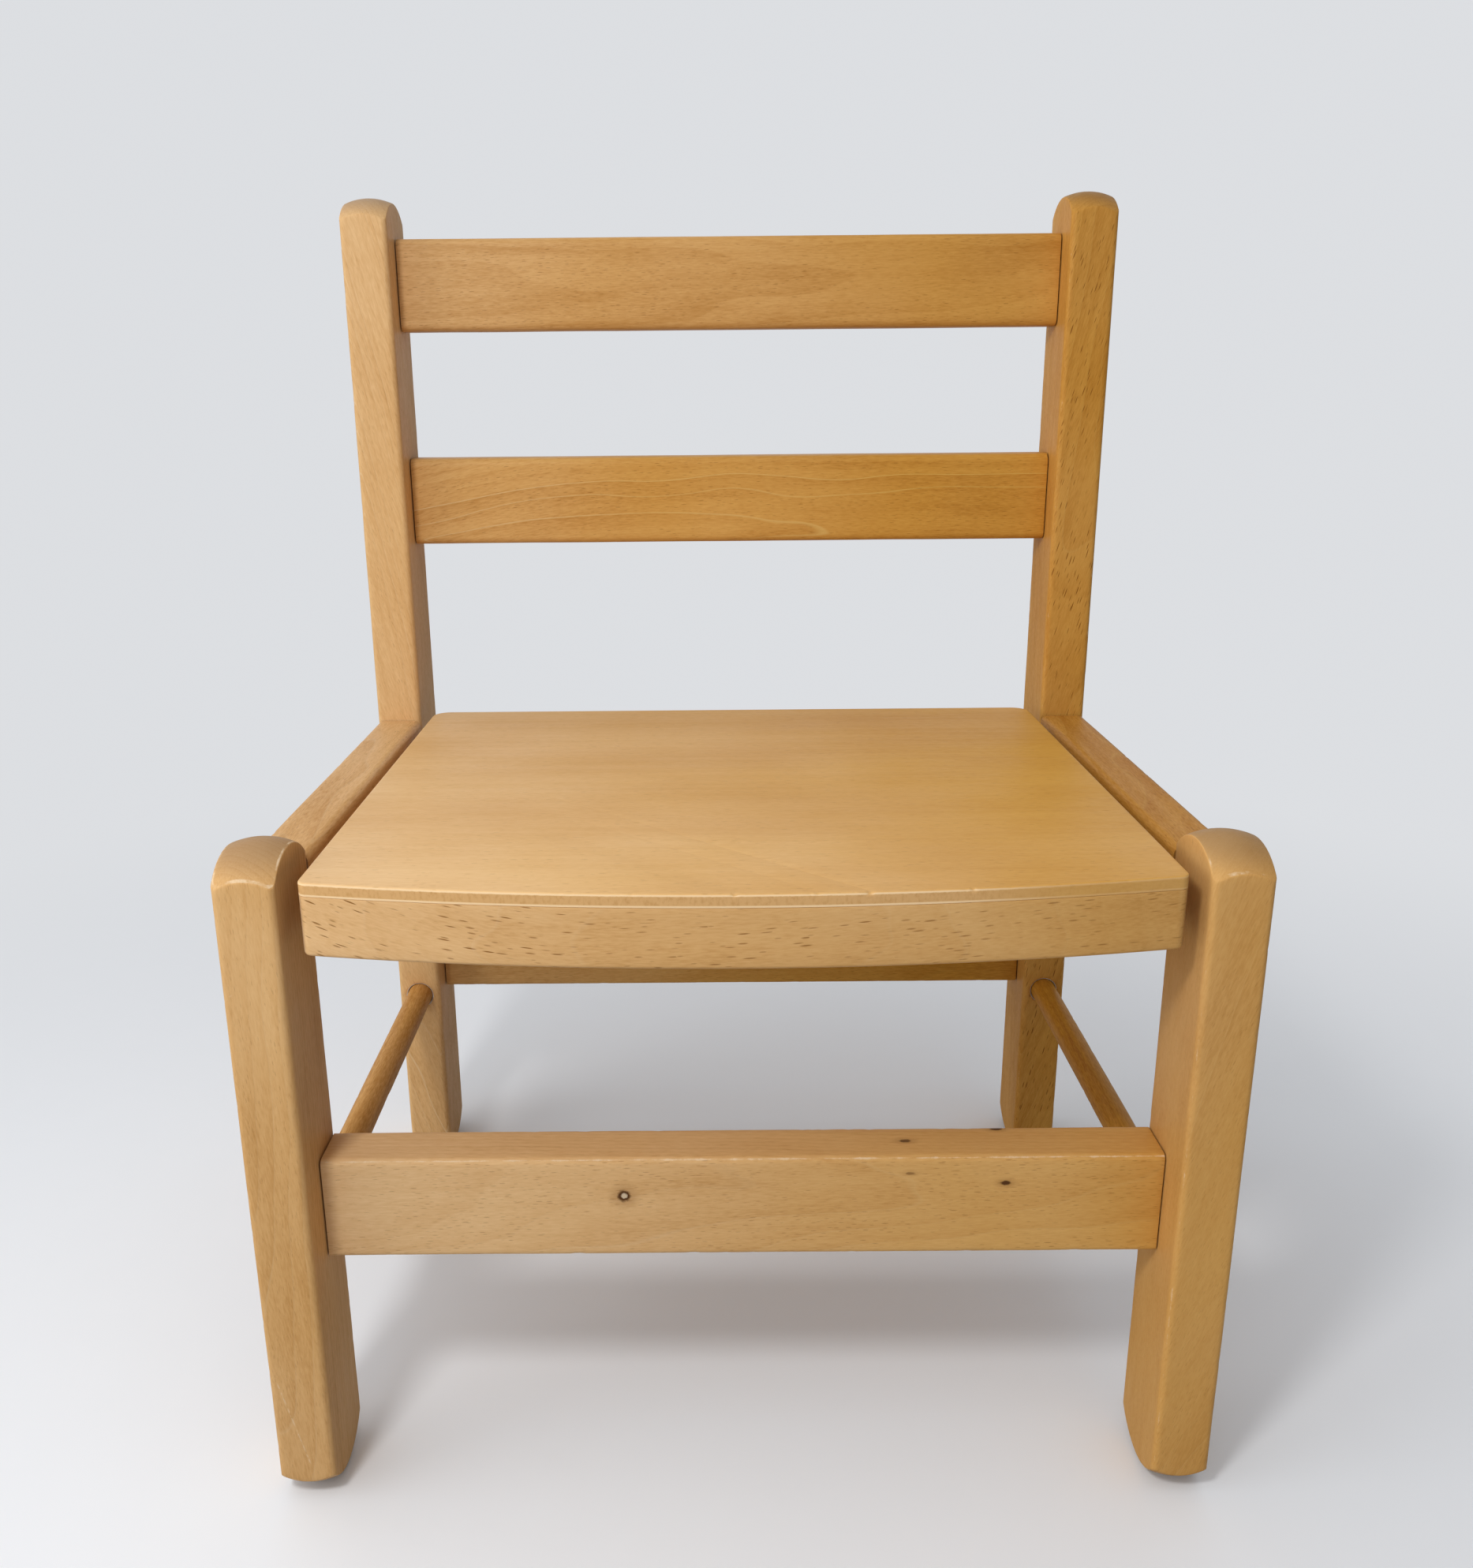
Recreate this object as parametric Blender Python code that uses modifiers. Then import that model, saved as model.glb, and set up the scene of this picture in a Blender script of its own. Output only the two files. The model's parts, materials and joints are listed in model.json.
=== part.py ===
"""A child's beech chair, modelled piece by piece at its real size.

Metres, +Z up. The chair stands on Z = 0 and is centred on X and Y.
Its front faces -Y, and left and right are those of someone looking at its front.
"""
import math

import bmesh
import bpy
from mathutils import Matrix, Vector

MM = 0.001

# Overall sizes of the frame
CHAIR_WIDTH = 360.0 * MM
FRAME_DEPTH = 285.0 * MM
SEAT_HEIGHT = 256.5 * MM
BACK_HEIGHT = 245.0 * MM

# Legs and posts
LEG_WIDTH = 22.0 * MM
LEG_DEPTH = 40.0 * MM
LEG_EDGE_RADIUS = 2.5 * MM
LEG_ABOVE_RAIL = 12.5 * MM
DOME_CORNER_DROP = 12.6 * MM
FOOT_FLAT_RADIUS = 4.5 * MM
DOME_STEPS = 8
DOME_TURNS = 40

# Side rails
RAIL_THICKNESS = 22.0 * MM
RAIL_HEIGHT = 41.0 * MM
RAIL_EDGE_RADIUS = 3.5 * MM
SEAT_ABOVE_RAIL = 3.5 * MM

# Front and rear stretchers
STRETCHER_THICKNESS = 22.0 * MM
STRETCHER_HEIGHT = 42.0 * MM
STRETCHER_EDGE_RADIUS = 2.5 * MM
STRETCHER_UNDERSIDE = 97.6 * MM
FRONT_STRETCHER_SETBACK = 17.0 * MM
REAR_STRETCHER_SETBACK = 15.5 * MM

# Round side stretchers
SIDE_DOWEL_DIAMETER = 13.0 * MM
SIDE_DOWEL_RISE = 1.9 * MM
SIDE_DOWEL_SOCKET = 18.0 * MM
SIDE_DOWEL_END_CHAMFER = 1.0 * MM
SOCKET_MOUTH_WIDENING = 0.8 * MM
SIDE_DOWEL_SIDES = 24

# Back slats
SLAT_THICKNESS = 20.0 * MM
SLAT_HEIGHT = 42.0 * MM
SLAT_SETBACK = 15.5 * MM
SLAT_BELOW_CROWN = 18.0 * MM
SLAT_GAP = 59.5 * MM

# Seat
SEAT_SIDE_GAP = 7.3 * MM
SEAT_FRONT_BOW = 14.0 * MM
SEAT_CORNER_SETBACK = 0.5 * MM
SEAT_BACK_LAP = 3.0 * MM
SEAT_TOP_THICKNESS = 5.0 * MM
SEAT_TOP_EDGE_RADIUS = 0.5 * MM
SEAT_FRONT_CORNER_RADIUS = 2.0 * MM
SEAT_BACK_CORNER_RADIUS = 8.0 * MM
SEAT_FRAME_HEIGHT = 21.6 * MM
APRON_END_DEPTH = 22.0 * MM
APRON_EDGE_RADIUS = 1.5 * MM
BATTEN_WIDTH = 26.0 * MM
BATTEN_EDGE_RADIUS = 1.0 * MM
BOW_STEPS = 24
CORNER_STEPS = 4

# Bearers under the seat
BEARER_WIDTH = 32.0 * MM
BEARER_HEIGHT = 17.0 * MM
BEARER_INSET = 20.0 * MM

# Dowel pins in the butt joints
PIN_DIAMETER = 8.0 * MM
PIN_LENGTH = 30.0 * MM
PIN_END_CHAMFER = 1.0 * MM
PIN_SIDES = 12
PIN_PLACE_SHARE = 0.25
WOOD_BEHIND_BORE = 7.5 * MM
WOOD_BETWEEN_BORES = 2.0 * MM

# Screws that hold the seat down
SCREW_LENGTH = 32.0 * MM
SCREW_DIAMETER = 4.0 * MM
SCREW_HEAD_DIAMETER = 8.0 * MM
SCREW_TIP_LENGTH = 4.0 * MM
SCREW_SIDES = 12

# Fits
CLEARANCE = 0.3 * MM
CUT_OVERRUN = 1.0 * MM
MERGE_DISTANCE = 0.01 * MM

# Finish, as linear colour and roughness: beech under clear lacquer, and zinc
LEG_BEECH = (0.66, 0.41, 0.19)
RAIL_BEECH = (0.63, 0.38, 0.17)
SEAT_BEECH = (0.64, 0.42, 0.18)
INNER_BEECH = (0.60, 0.40, 0.22)
ZINC = (0.62, 0.62, 0.60)
LACQUER_ROUGHNESS = 0.42
BARE_WOOD_ROUGHNESS = 0.65
ZINC_ROUGHNESS = 0.35

# Places that follow from the sizes above
HALF_WIDTH = CHAIR_WIDTH / 2
INNER_HALF_WIDTH = HALF_WIDTH - LEG_WIDTH
LEG_CENTRE_X = HALF_WIDTH - LEG_WIDTH / 2
SEAT_OVERHANG = SEAT_FRONT_BOW - SEAT_CORNER_SETBACK
FRONT_Y = (SEAT_OVERHANG - FRAME_DEPTH) / 2
REAR_Y = FRONT_Y + FRAME_DEPTH
LEG_BACK_Y = FRONT_Y + LEG_DEPTH
POST_FRONT_Y = REAR_Y - LEG_DEPTH
RAIL_TOP = SEAT_HEIGHT - SEAT_ABOVE_RAIL
RAIL_UNDERSIDE = RAIL_TOP - RAIL_HEIGHT
FRONT_LEG_HEIGHT = RAIL_TOP + LEG_ABOVE_RAIL
POST_HEIGHT = SEAT_HEIGHT + BACK_HEIGHT
UPPER_SLAT_UNDERSIDE = POST_HEIGHT - SLAT_BELOW_CROWN - SLAT_HEIGHT
LOWER_SLAT_UNDERSIDE = UPPER_SLAT_UNDERSIDE - SLAT_GAP - SLAT_HEIGHT
SIDE_DOWEL_Z = STRETCHER_UNDERSIDE + SIDE_DOWEL_RISE
SEAT_HALF_WIDTH = INNER_HALF_WIDTH - SEAT_SIDE_GAP
SEAT_TOP_UNDERSIDE = SEAT_HEIGHT - SEAT_TOP_THICKNESS
SEAT_FRAME_TOP = SEAT_TOP_UNDERSIDE - CLEARANCE
SEAT_FRAME_UNDERSIDE = SEAT_FRAME_TOP - SEAT_FRAME_HEIGHT
SEAT_CORNER_Y = FRONT_Y + SEAT_CORNER_SETBACK
SEAT_BACK_Y = POST_FRONT_Y + SEAT_BACK_LAP
APRON_BACK_Y = SEAT_CORNER_Y + APRON_END_DEPTH
BATTEN_CENTRE_X = SEAT_HALF_WIDTH - BATTEN_WIDTH / 2
BEARER_TOP = SEAT_FRAME_UNDERSIDE - CLEARANCE
BEARER_UNDERSIDE = BEARER_TOP - BEARER_HEIGHT
FRONT_BEARER_Y = LEG_BACK_Y + BEARER_INSET + BEARER_WIDTH / 2
REAR_BEARER_Y = POST_FRONT_Y - BEARER_INSET - BEARER_WIDTH / 2

AXIS_X = Vector((1, 0, 0))
AXIS_Y = Vector((0, 1, 0))
AXIS_Z = Vector((0, 0, 1))
SIDES = (("left", -1), ("right", 1))
LEVELS = (("lower", PIN_PLACE_SHARE), ("upper", 1 - PIN_PLACE_SHARE))


# Scene, collections and materials
def clear_scene():
    for obj in list(bpy.data.objects):
        bpy.data.objects.remove(obj, do_unlink=True)


def new_collection(name):
    collection = bpy.data.collections.new(name)
    bpy.context.scene.collection.children.link(collection)
    return collection


def set_material(obj, colour, roughness, metallic=0.0):
    material = bpy.data.materials.new(obj.name)
    material.use_nodes = True
    shader = material.node_tree.nodes["Principled BSDF"]
    shader.inputs["Base Color"].default_value = (*colour, 1.0)
    shader.inputs["Roughness"].default_value = roughness
    shader.inputs["Metallic"].default_value = metallic
    obj.data.materials.clear()
    obj.data.materials.append(material)


def mesh_object(name, fill, collection):
    """An object whose mesh is made by fill, which is given an empty bmesh."""
    mesh = bpy.data.meshes.new(name)
    bm = bmesh.new()
    fill(bm)
    bm.to_mesh(mesh)
    bm.free()
    obj = bpy.data.objects.new(name, mesh)
    collection.objects.link(obj)
    return obj


# Modifiers
def add_bevel(obj, width, segments, limit="ANGLE", angle=60.0):
    bevel = obj.modifiers.new("rounding", "BEVEL")
    bevel.width = width
    bevel.segments = segments
    bevel.limit_method = limit
    bevel.angle_limit = math.radians(angle)


def add_boolean(obj, cutter, operation):
    boolean = obj.modifiers.new(cutter.name, "BOOLEAN")
    boolean.operation = operation
    boolean.solver = "EXACT"
    boolean.object = cutter


def add_turning(obj, steps):
    """Turns a profile in the XZ plane about Z."""
    screw = obj.modifiers.new("turning", "SCREW")
    screw.axis = "Z"
    screw.angle = math.tau
    screw.steps = steps
    screw.render_steps = steps
    screw.use_merge_vertices = True
    screw.merge_threshold = MERGE_DISTANCE


def hide_cutter(obj):
    obj.hide_render = True
    obj.display_type = "WIRE"


# Plain shapes
def box(name, low, high, collection, upright_rounding=0.0):
    """A box between two corners, whose upright edges can carry a bevel weight."""
    low, high = Vector(low), Vector(high)

    def fill(bm):
        bmesh.ops.create_cube(bm, size=1.0, matrix=Matrix.Diagonal((*(high - low), 1.0)))
        weight = bm.edges.layers.float.new("bevel_weight_edge")
        for edge in bm.edges:
            run = edge.verts[0].co - edge.verts[1].co
            edge[weight] = upright_rounding if abs(run.z) > max(abs(run.x), abs(run.y)) else 0.0

    obj = mesh_object(name, fill, collection)
    obj.location = (low + high) / 2
    return obj


def turned_profile(name, points, collection):
    """A chain of (radius, height) points, to be turned about Z."""

    def fill(bm):
        chain = [bm.verts.new((radius, 0.0, height)) for radius, height in points]
        for upper, lower in zip(chain, chain[1:]):
            bm.edges.new((upper, lower))

    return mesh_object(name, fill, collection)


def turn_to(axis):
    return axis.to_track_quat("Z", "Y").to_matrix().to_4x4()


def add_cylinder(bm, start, end, start_radius, end_radius, sides):
    axis = end - start
    place = Matrix.Translation((start + end) / 2) @ turn_to(axis)
    bmesh.ops.create_cone(
        bm, cap_ends=True, segments=sides, depth=axis.length,
        radius1=start_radius, radius2=end_radius, matrix=place,
    )


def slab(name, outline, low, high, edge_radius, collection):
    """A flat outline raised from one height to another, with rounded arrises."""
    curve = bpy.data.curves.new(name, "CURVE")
    curve.dimensions = "2D"
    curve.fill_mode = "BOTH"
    curve.extrude = (high - low) / 2 - edge_radius
    curve.bevel_depth = edge_radius
    curve.bevel_resolution = 1
    curve.offset = -edge_radius
    spline = curve.splines.new("POLY")
    spline.points.add(len(outline) - 1)
    for point, (x, y) in zip(spline.points, outline):
        point.co = (x, y, 0.0, 1.0)
    spline.use_cyclic_u = True
    rough = bpy.data.objects.new(name + "_outline", curve)
    rough.location.z = (low + high) / 2
    collection.objects.link(rough)
    bpy.context.view_layer.update()
    graph = bpy.context.evaluated_depsgraph_get()
    mesh = bpy.data.meshes.new_from_object(rough.evaluated_get(graph))
    mesh.name = name
    bm = bmesh.new()
    bm.from_mesh(mesh)
    bmesh.ops.remove_doubles(bm, verts=bm.verts, dist=MERGE_DISTANCE)
    bmesh.ops.recalc_face_normals(bm, faces=bm.faces)
    bm.to_mesh(mesh)
    bm.free()
    obj = bpy.data.objects.new(name, mesh)
    obj.matrix_world = rough.matrix_world
    collection.objects.link(obj)
    bpy.data.objects.remove(rough, do_unlink=True)
    return obj


# Bores and the pins that fill them
class Joinery:
    """Keeps the bores that each piece needs, and the pins that go into them."""

    def __init__(self):
        self.bores = {}
        self.mouths = {}
        self.pins = []

    def bore(self, piece, face, inward, depth, radius, sides):
        """A blind bore that starts at a point on a face and runs inward."""
        start = face - inward * CUT_OVERRUN
        end = face + inward * (depth + CLEARANCE)
        reach = radius + CLEARANCE
        self.bores.setdefault(piece, []).append((start, end, reach, reach, sides))

    def mouth(self, piece, face, inward, radius, sides):
        """The eased edge round a bore: a cone that narrows into the wood."""
        wide = radius + CLEARANCE + SOCKET_MOUTH_WIDENING
        start = face - inward * CUT_OVERRUN
        end = face + inward * SOCKET_MOUTH_WIDENING
        narrow_radius = radius + CLEARANCE
        self.mouths.setdefault(piece, []).append(
            (start, end, wide + CUT_OVERRUN, narrow_radius, sides)
        )

    def pin(self, name, carrier, member, face, inward, depth):
        """One dowel pin across a butt joint, and the two bores that it fills."""
        member_face = face - inward * CLEARANCE
        member_depth = PIN_LENGTH - depth - CLEARANCE
        radius = PIN_DIAMETER / 2
        self.bore(carrier, face, inward, depth, radius, PIN_SIDES)
        self.bore(member, member_face, -inward, member_depth, radius, PIN_SIDES)
        centre = face + inward * (depth - PIN_LENGTH / 2)
        self.pins.append((name, centre, inward))

    def cut(self, obj, cutters):
        """Cuts the piece's bores, and then the mouths of its sockets."""
        for kind, table in (("bores", self.bores), ("mouths", self.mouths)):
            if obj.name not in table:
                continue

            def fill(bm, cones=table[obj.name]):
                for cone in cones:
                    add_cylinder(bm, *cone)

            cutter = mesh_object(f"{kind}_{obj.name}", fill, cutters)
            hide_cutter(cutter)
            add_boolean(obj, cutter, "DIFFERENCE")


def pin_heights(underside, height):
    return [(level, underside + share * height) for level, share in LEVELS]


def stretcher_pin_heights():
    """The lower pin keeps clear of the socket of the round side stretcher."""
    socket_top = SIDE_DOWEL_Z + SIDE_DOWEL_DIAMETER / 2 + CLEARANCE
    lowest = socket_top + WOOD_BETWEEN_BORES + PIN_DIAMETER / 2 + CLEARANCE
    (low_name, low), (high_name, high) = pin_heights(STRETCHER_UNDERSIDE, STRETCHER_HEIGHT)
    return [(low_name, max(low, lowest)), (high_name, high)]


def plan_joinery():
    """Every joint of the chair, before any piece is made."""
    joinery = Joinery()
    leg_bore = LEG_WIDTH - WOOD_BEHIND_BORE
    rail_bore = RAIL_THICKNESS - WOOD_BEHIND_BORE
    slat_y = POST_FRONT_Y + SLAT_SETBACK + SLAT_THICKNESS / 2
    front_y = FRONT_Y + FRONT_STRETCHER_SETBACK + STRETCHER_THICKNESS / 2
    rear_y = POST_FRONT_Y + REAR_STRETCHER_SETBACK + STRETCHER_THICKNESS / 2
    cross_members = (
        ("front_stretcher", "front_leg", front_y, stretcher_pin_heights()),
        ("rear_stretcher", "rear_post", rear_y, stretcher_pin_heights()),
        ("lower_slat", "rear_post", slat_y, pin_heights(LOWER_SLAT_UNDERSIDE, SLAT_HEIGHT)),
        ("upper_slat", "rear_post", slat_y, pin_heights(UPPER_SLAT_UNDERSIDE, SLAT_HEIGHT)),
    )
    for side, sign in SIDES:
        outward = AXIS_X * sign
        for member, carrier, y, heights in cross_members:
            for level, z in heights:
                face = Vector((sign * INNER_HALF_WIDTH, y, z))
                name = f"pin_{member}_{side}_{level}"
                joinery.pin(name, f"{carrier}_{side}", member, face, outward, leg_bore)

        rail = f"side_rail_{side}"
        rail_ends = (("front", "front_leg", LEG_BACK_Y, -AXIS_Y), ("rear", "rear_post", POST_FRONT_Y, AXIS_Y))
        for end, carrier, y, inward in rail_ends:
            for level, z in pin_heights(RAIL_UNDERSIDE, RAIL_HEIGHT):
                face = Vector((sign * LEG_CENTRE_X, y, z))
                name = f"pin_{rail}_{end}_{level}"
                joinery.pin(name, f"{carrier}_{side}", rail, face, inward, PIN_LENGTH / 2)
            socket = Vector((sign * LEG_CENTRE_X, y, SIDE_DOWEL_Z))
            radius = SIDE_DOWEL_DIAMETER / 2
            joinery.bore(f"{carrier}_{side}", socket, inward, SIDE_DOWEL_SOCKET, radius, SIDE_DOWEL_SIDES)
            joinery.mouth(f"{carrier}_{side}", socket, inward, radius, SIDE_DOWEL_SIDES)

        inner_face_x = HALF_WIDTH - RAIL_THICKNESS
        bearer_z = BEARER_UNDERSIDE + BEARER_HEIGHT / 2
        for end, y in (("front", FRONT_BEARER_Y), ("rear", REAR_BEARER_Y)):
            bearer = f"seat_bearer_{end}"
            for level, share in LEVELS:
                offset = (share - 0.5) * BEARER_WIDTH
                face = Vector((sign * inner_face_x, y + offset, bearer_z))
                place = "front" if level == "lower" else "rear"
                name = f"pin_{bearer}_{side}_{place}"
                joinery.pin(name, rail, bearer, face, outward, rail_bore)
    return joinery


# Legs and posts
def dome_radius():
    """The sphere that lowers the bar's corners by the named drop."""
    corner = math.hypot(LEG_WIDTH, LEG_DEPTH) / 2
    return (corner ** 2 + DOME_CORNER_DROP ** 2) / (2 * DOME_CORNER_DROP)


def dome_profile(height):
    """Half outline of the turned form that rounds both ends of a leg."""
    corner = math.hypot(LEG_WIDTH, LEG_DEPTH) / 2
    sphere = dome_radius()
    reach = (corner + sphere) / 2
    widest = math.asin(reach / sphere)
    foot_start = math.asin(FOOT_FLAT_RADIUS / sphere)
    foot_centre = sphere * math.cos(foot_start)
    crown_centre = height - sphere
    crown = [widest * step / DOME_STEPS for step in range(DOME_STEPS + 1)]
    foot = [widest + (foot_start - widest) * step / DOME_STEPS for step in range(DOME_STEPS + 1)]
    points = [(sphere * math.sin(a), crown_centre + sphere * math.cos(a)) for a in crown]
    points += [(sphere * math.sin(a), foot_centre - sphere * math.cos(a)) for a in foot]
    return points + [(0.0, 0.0)]


def make_leg(name, x, front_y, height, parts, cutters, joinery):
    half = Vector((LEG_WIDTH / 2, LEG_DEPTH / 2, 0.0))
    centre = Vector((x, front_y + LEG_DEPTH / 2, 0.0))
    leg = box(name, centre - half, centre + half + AXIS_Z * height, parts, upright_rounding=1.0)
    add_bevel(leg, LEG_EDGE_RADIUS, segments=3, limit="WEIGHT")
    ends = turned_profile(f"ends_{name}", dome_profile(height), cutters)
    add_turning(ends, DOME_TURNS)
    ends.location = centre
    hide_cutter(ends)
    add_boolean(leg, ends, "INTERSECT")
    joinery.cut(leg, cutters)
    set_material(leg, LEG_BEECH, LACQUER_ROUGHNESS)


def make_legs(parts, cutters, joinery):
    for side, sign in SIDES:
        x = sign * LEG_CENTRE_X
        make_leg(f"front_leg_{side}", x, FRONT_Y, FRONT_LEG_HEIGHT, parts, cutters, joinery)
        make_leg(f"rear_post_{side}", x, POST_FRONT_Y, POST_HEIGHT, parts, cutters, joinery)


# Rails, stretchers and slats
def make_bar(name, low, high, radius, colour, parts, cutters, joinery):
    """A bar rounded on every edge, its ends included."""
    bar = box(name, low, high, parts)
    add_bevel(bar, radius, segments=3)
    joinery.cut(bar, cutters)
    set_material(bar, colour, LACQUER_ROUGHNESS)


def make_side_rails(parts, cutters, joinery):
    for side, sign in SIDES:
        outer, inner = sign * HALF_WIDTH, sign * (HALF_WIDTH - RAIL_THICKNESS)
        low = (min(outer, inner), LEG_BACK_Y + CLEARANCE, RAIL_UNDERSIDE)
        high = (max(outer, inner), POST_FRONT_Y - CLEARANCE, RAIL_TOP)
        make_bar(f"side_rail_{side}", low, high, RAIL_EDGE_RADIUS, RAIL_BEECH, parts, cutters, joinery)


def make_cross_members(parts, cutters, joinery):
    reach = INNER_HALF_WIDTH - CLEARANCE
    members = (
        ("front_stretcher", FRONT_Y + FRONT_STRETCHER_SETBACK, STRETCHER_UNDERSIDE),
        ("rear_stretcher", POST_FRONT_Y + REAR_STRETCHER_SETBACK, STRETCHER_UNDERSIDE),
        ("lower_slat", POST_FRONT_Y + SLAT_SETBACK, LOWER_SLAT_UNDERSIDE),
        ("upper_slat", POST_FRONT_Y + SLAT_SETBACK, UPPER_SLAT_UNDERSIDE),
    )
    stretcher_stock = (STRETCHER_THICKNESS, STRETCHER_HEIGHT, STRETCHER_EDGE_RADIUS)
    slat_stock = (SLAT_THICKNESS, SLAT_HEIGHT, RAIL_EDGE_RADIUS)
    for name, front, underside in members:
        thickness, height, radius = slat_stock if "slat" in name else stretcher_stock
        low = (-reach, front, underside)
        high = (reach, front + thickness, underside + height)
        make_bar(name, low, high, radius, RAIL_BEECH, parts, cutters, joinery)


def make_rod(name, centre, axis, diameter, length, chamfer, sides, colour, parts):
    """A round rod with eased ends, lying along an axis."""

    def fill(bm):
        half = AXIS_Z * (length / 2)
        add_cylinder(bm, -half, half, diameter / 2, diameter / 2, sides)

    rod = mesh_object(name, fill, parts)
    rod.matrix_world = Matrix.Translation(centre) @ turn_to(axis)
    rod.data.shade_smooth()
    rod.data.set_sharp_from_angle(angle=math.radians(45.0))
    add_bevel(rod, chamfer, segments=1)
    set_material(rod, colour, LACQUER_ROUGHNESS)


def make_side_dowels(parts):
    """Each end stops short of its socket's floor by the clearance."""
    length = POST_FRONT_Y - LEG_BACK_Y + 2 * SIDE_DOWEL_SOCKET
    for side, sign in SIDES:
        centre = Vector((sign * LEG_CENTRE_X, (LEG_BACK_Y + POST_FRONT_Y) / 2, SIDE_DOWEL_Z))
        make_rod(
            f"side_stretcher_{side}", centre, AXIS_Y, SIDE_DOWEL_DIAMETER, length,
            SIDE_DOWEL_END_CHAMFER, SIDE_DOWEL_SIDES, RAIL_BEECH, parts,
        )


def make_pins(parts, joinery):
    for name, centre, axis in joinery.pins:
        make_rod(
            name, centre, axis, PIN_DIAMETER, PIN_LENGTH,
            PIN_END_CHAMFER, PIN_SIDES, INNER_BEECH, parts,
        )


# Seat
def make_hidden_bar(name, low, high, parts, cutters, joinery):
    """A batten or bearer of the seat's frame, out of sight under the plywood."""
    make_bar(name, low, high, BATTEN_EDGE_RADIUS, INNER_BEECH, parts, cutters, joinery)


def bowed_front(half_width):
    """Points of the seat's front arc from left to right, at the named bow."""
    radius = (SEAT_HALF_WIDTH ** 2 + SEAT_FRONT_BOW ** 2) / (2 * SEAT_FRONT_BOW)
    centre_y = SEAT_CORNER_Y - SEAT_FRONT_BOW + radius
    reach = math.asin(half_width / radius)
    angles = [reach * (2 * step / BOW_STEPS - 1) for step in range(BOW_STEPS + 1)]
    return [(radius * math.sin(a), centre_y - radius * math.cos(a)) for a in angles]


def corner_arc(centre_x, centre_y, radius, start):
    """A quarter turn, anticlockwise from a start angle in degrees."""
    angles = [math.radians(start + 90.0 * step / CORNER_STEPS) for step in range(CORNER_STEPS + 1)]
    return [(centre_x + radius * math.cos(a), centre_y + radius * math.sin(a)) for a in angles]


def seat_outline(back_y, back_corner_radius):
    """Bowed front, straight sides and rounded corners, anticlockwise from above."""
    front_corner = SEAT_FRONT_CORNER_RADIUS
    front = bowed_front(SEAT_HALF_WIDTH - front_corner)
    corner_y = front[-1][1] + front_corner
    side_centre = SEAT_HALF_WIDTH - front_corner
    back_centre = SEAT_HALF_WIDTH - back_corner_radius
    points = front + corner_arc(side_centre, corner_y, front_corner, -90.0)[1:]
    points += corner_arc(back_centre, back_y - back_corner_radius, back_corner_radius, 0.0)
    points += corner_arc(-back_centre, back_y - back_corner_radius, back_corner_radius, 90.0)
    points += corner_arc(-side_centre, corner_y, front_corner, 180.0)[:-1]
    return points


def make_seat(parts, cutters, joinery):
    top = slab(
        "seat_top", seat_outline(SEAT_BACK_Y, SEAT_BACK_CORNER_RADIUS),
        SEAT_TOP_UNDERSIDE, SEAT_HEIGHT, SEAT_TOP_EDGE_RADIUS, parts,
    )
    set_material(top, SEAT_BEECH, LACQUER_ROUGHNESS)

    apron = slab(
        "seat_apron", seat_outline(APRON_BACK_Y, SEAT_FRONT_CORNER_RADIUS),
        SEAT_FRAME_UNDERSIDE, SEAT_FRAME_TOP, APRON_EDGE_RADIUS, parts,
    )
    set_material(apron, RAIL_BEECH, LACQUER_ROUGHNESS)

    back_front_y = SEAT_BACK_Y - SEAT_BACK_CORNER_RADIUS - BATTEN_WIDTH
    back_low = (-SEAT_HALF_WIDTH, back_front_y, SEAT_FRAME_UNDERSIDE)
    back_high = (SEAT_HALF_WIDTH, back_front_y + BATTEN_WIDTH, SEAT_FRAME_TOP)
    make_hidden_bar("seat_back_batten", back_low, back_high, parts, cutters, joinery)
    for side, sign in SIDES:
        low = (sign * BATTEN_CENTRE_X - BATTEN_WIDTH / 2, APRON_BACK_Y + CLEARANCE, SEAT_FRAME_UNDERSIDE)
        high = (sign * BATTEN_CENTRE_X + BATTEN_WIDTH / 2, back_front_y - CLEARANCE, SEAT_FRAME_TOP)
        make_hidden_bar(f"seat_batten_{side}", low, high, parts, cutters, joinery)

    reach = HALF_WIDTH - RAIL_THICKNESS - CLEARANCE
    for end, y in (("front", FRONT_BEARER_Y), ("rear", REAR_BEARER_Y)):
        low = (-reach, y - BEARER_WIDTH / 2, BEARER_UNDERSIDE)
        high = (reach, y + BEARER_WIDTH / 2, BEARER_TOP)
        make_hidden_bar(f"seat_bearer_{end}", low, high, parts, cutters, joinery)


# Screws
def screw_profile(growth):
    """Half outline of a countersunk screw, head down, grown for its hole."""
    head, shank = SCREW_HEAD_DIAMETER / 2 + growth, SCREW_DIAMETER / 2 + growth
    shoulder = SCREW_LENGTH - SCREW_TIP_LENGTH
    sink = head - shank
    return [(0.0, SCREW_LENGTH + growth), (shank, shoulder + growth), (shank, sink), (head, 0.0)]


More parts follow.
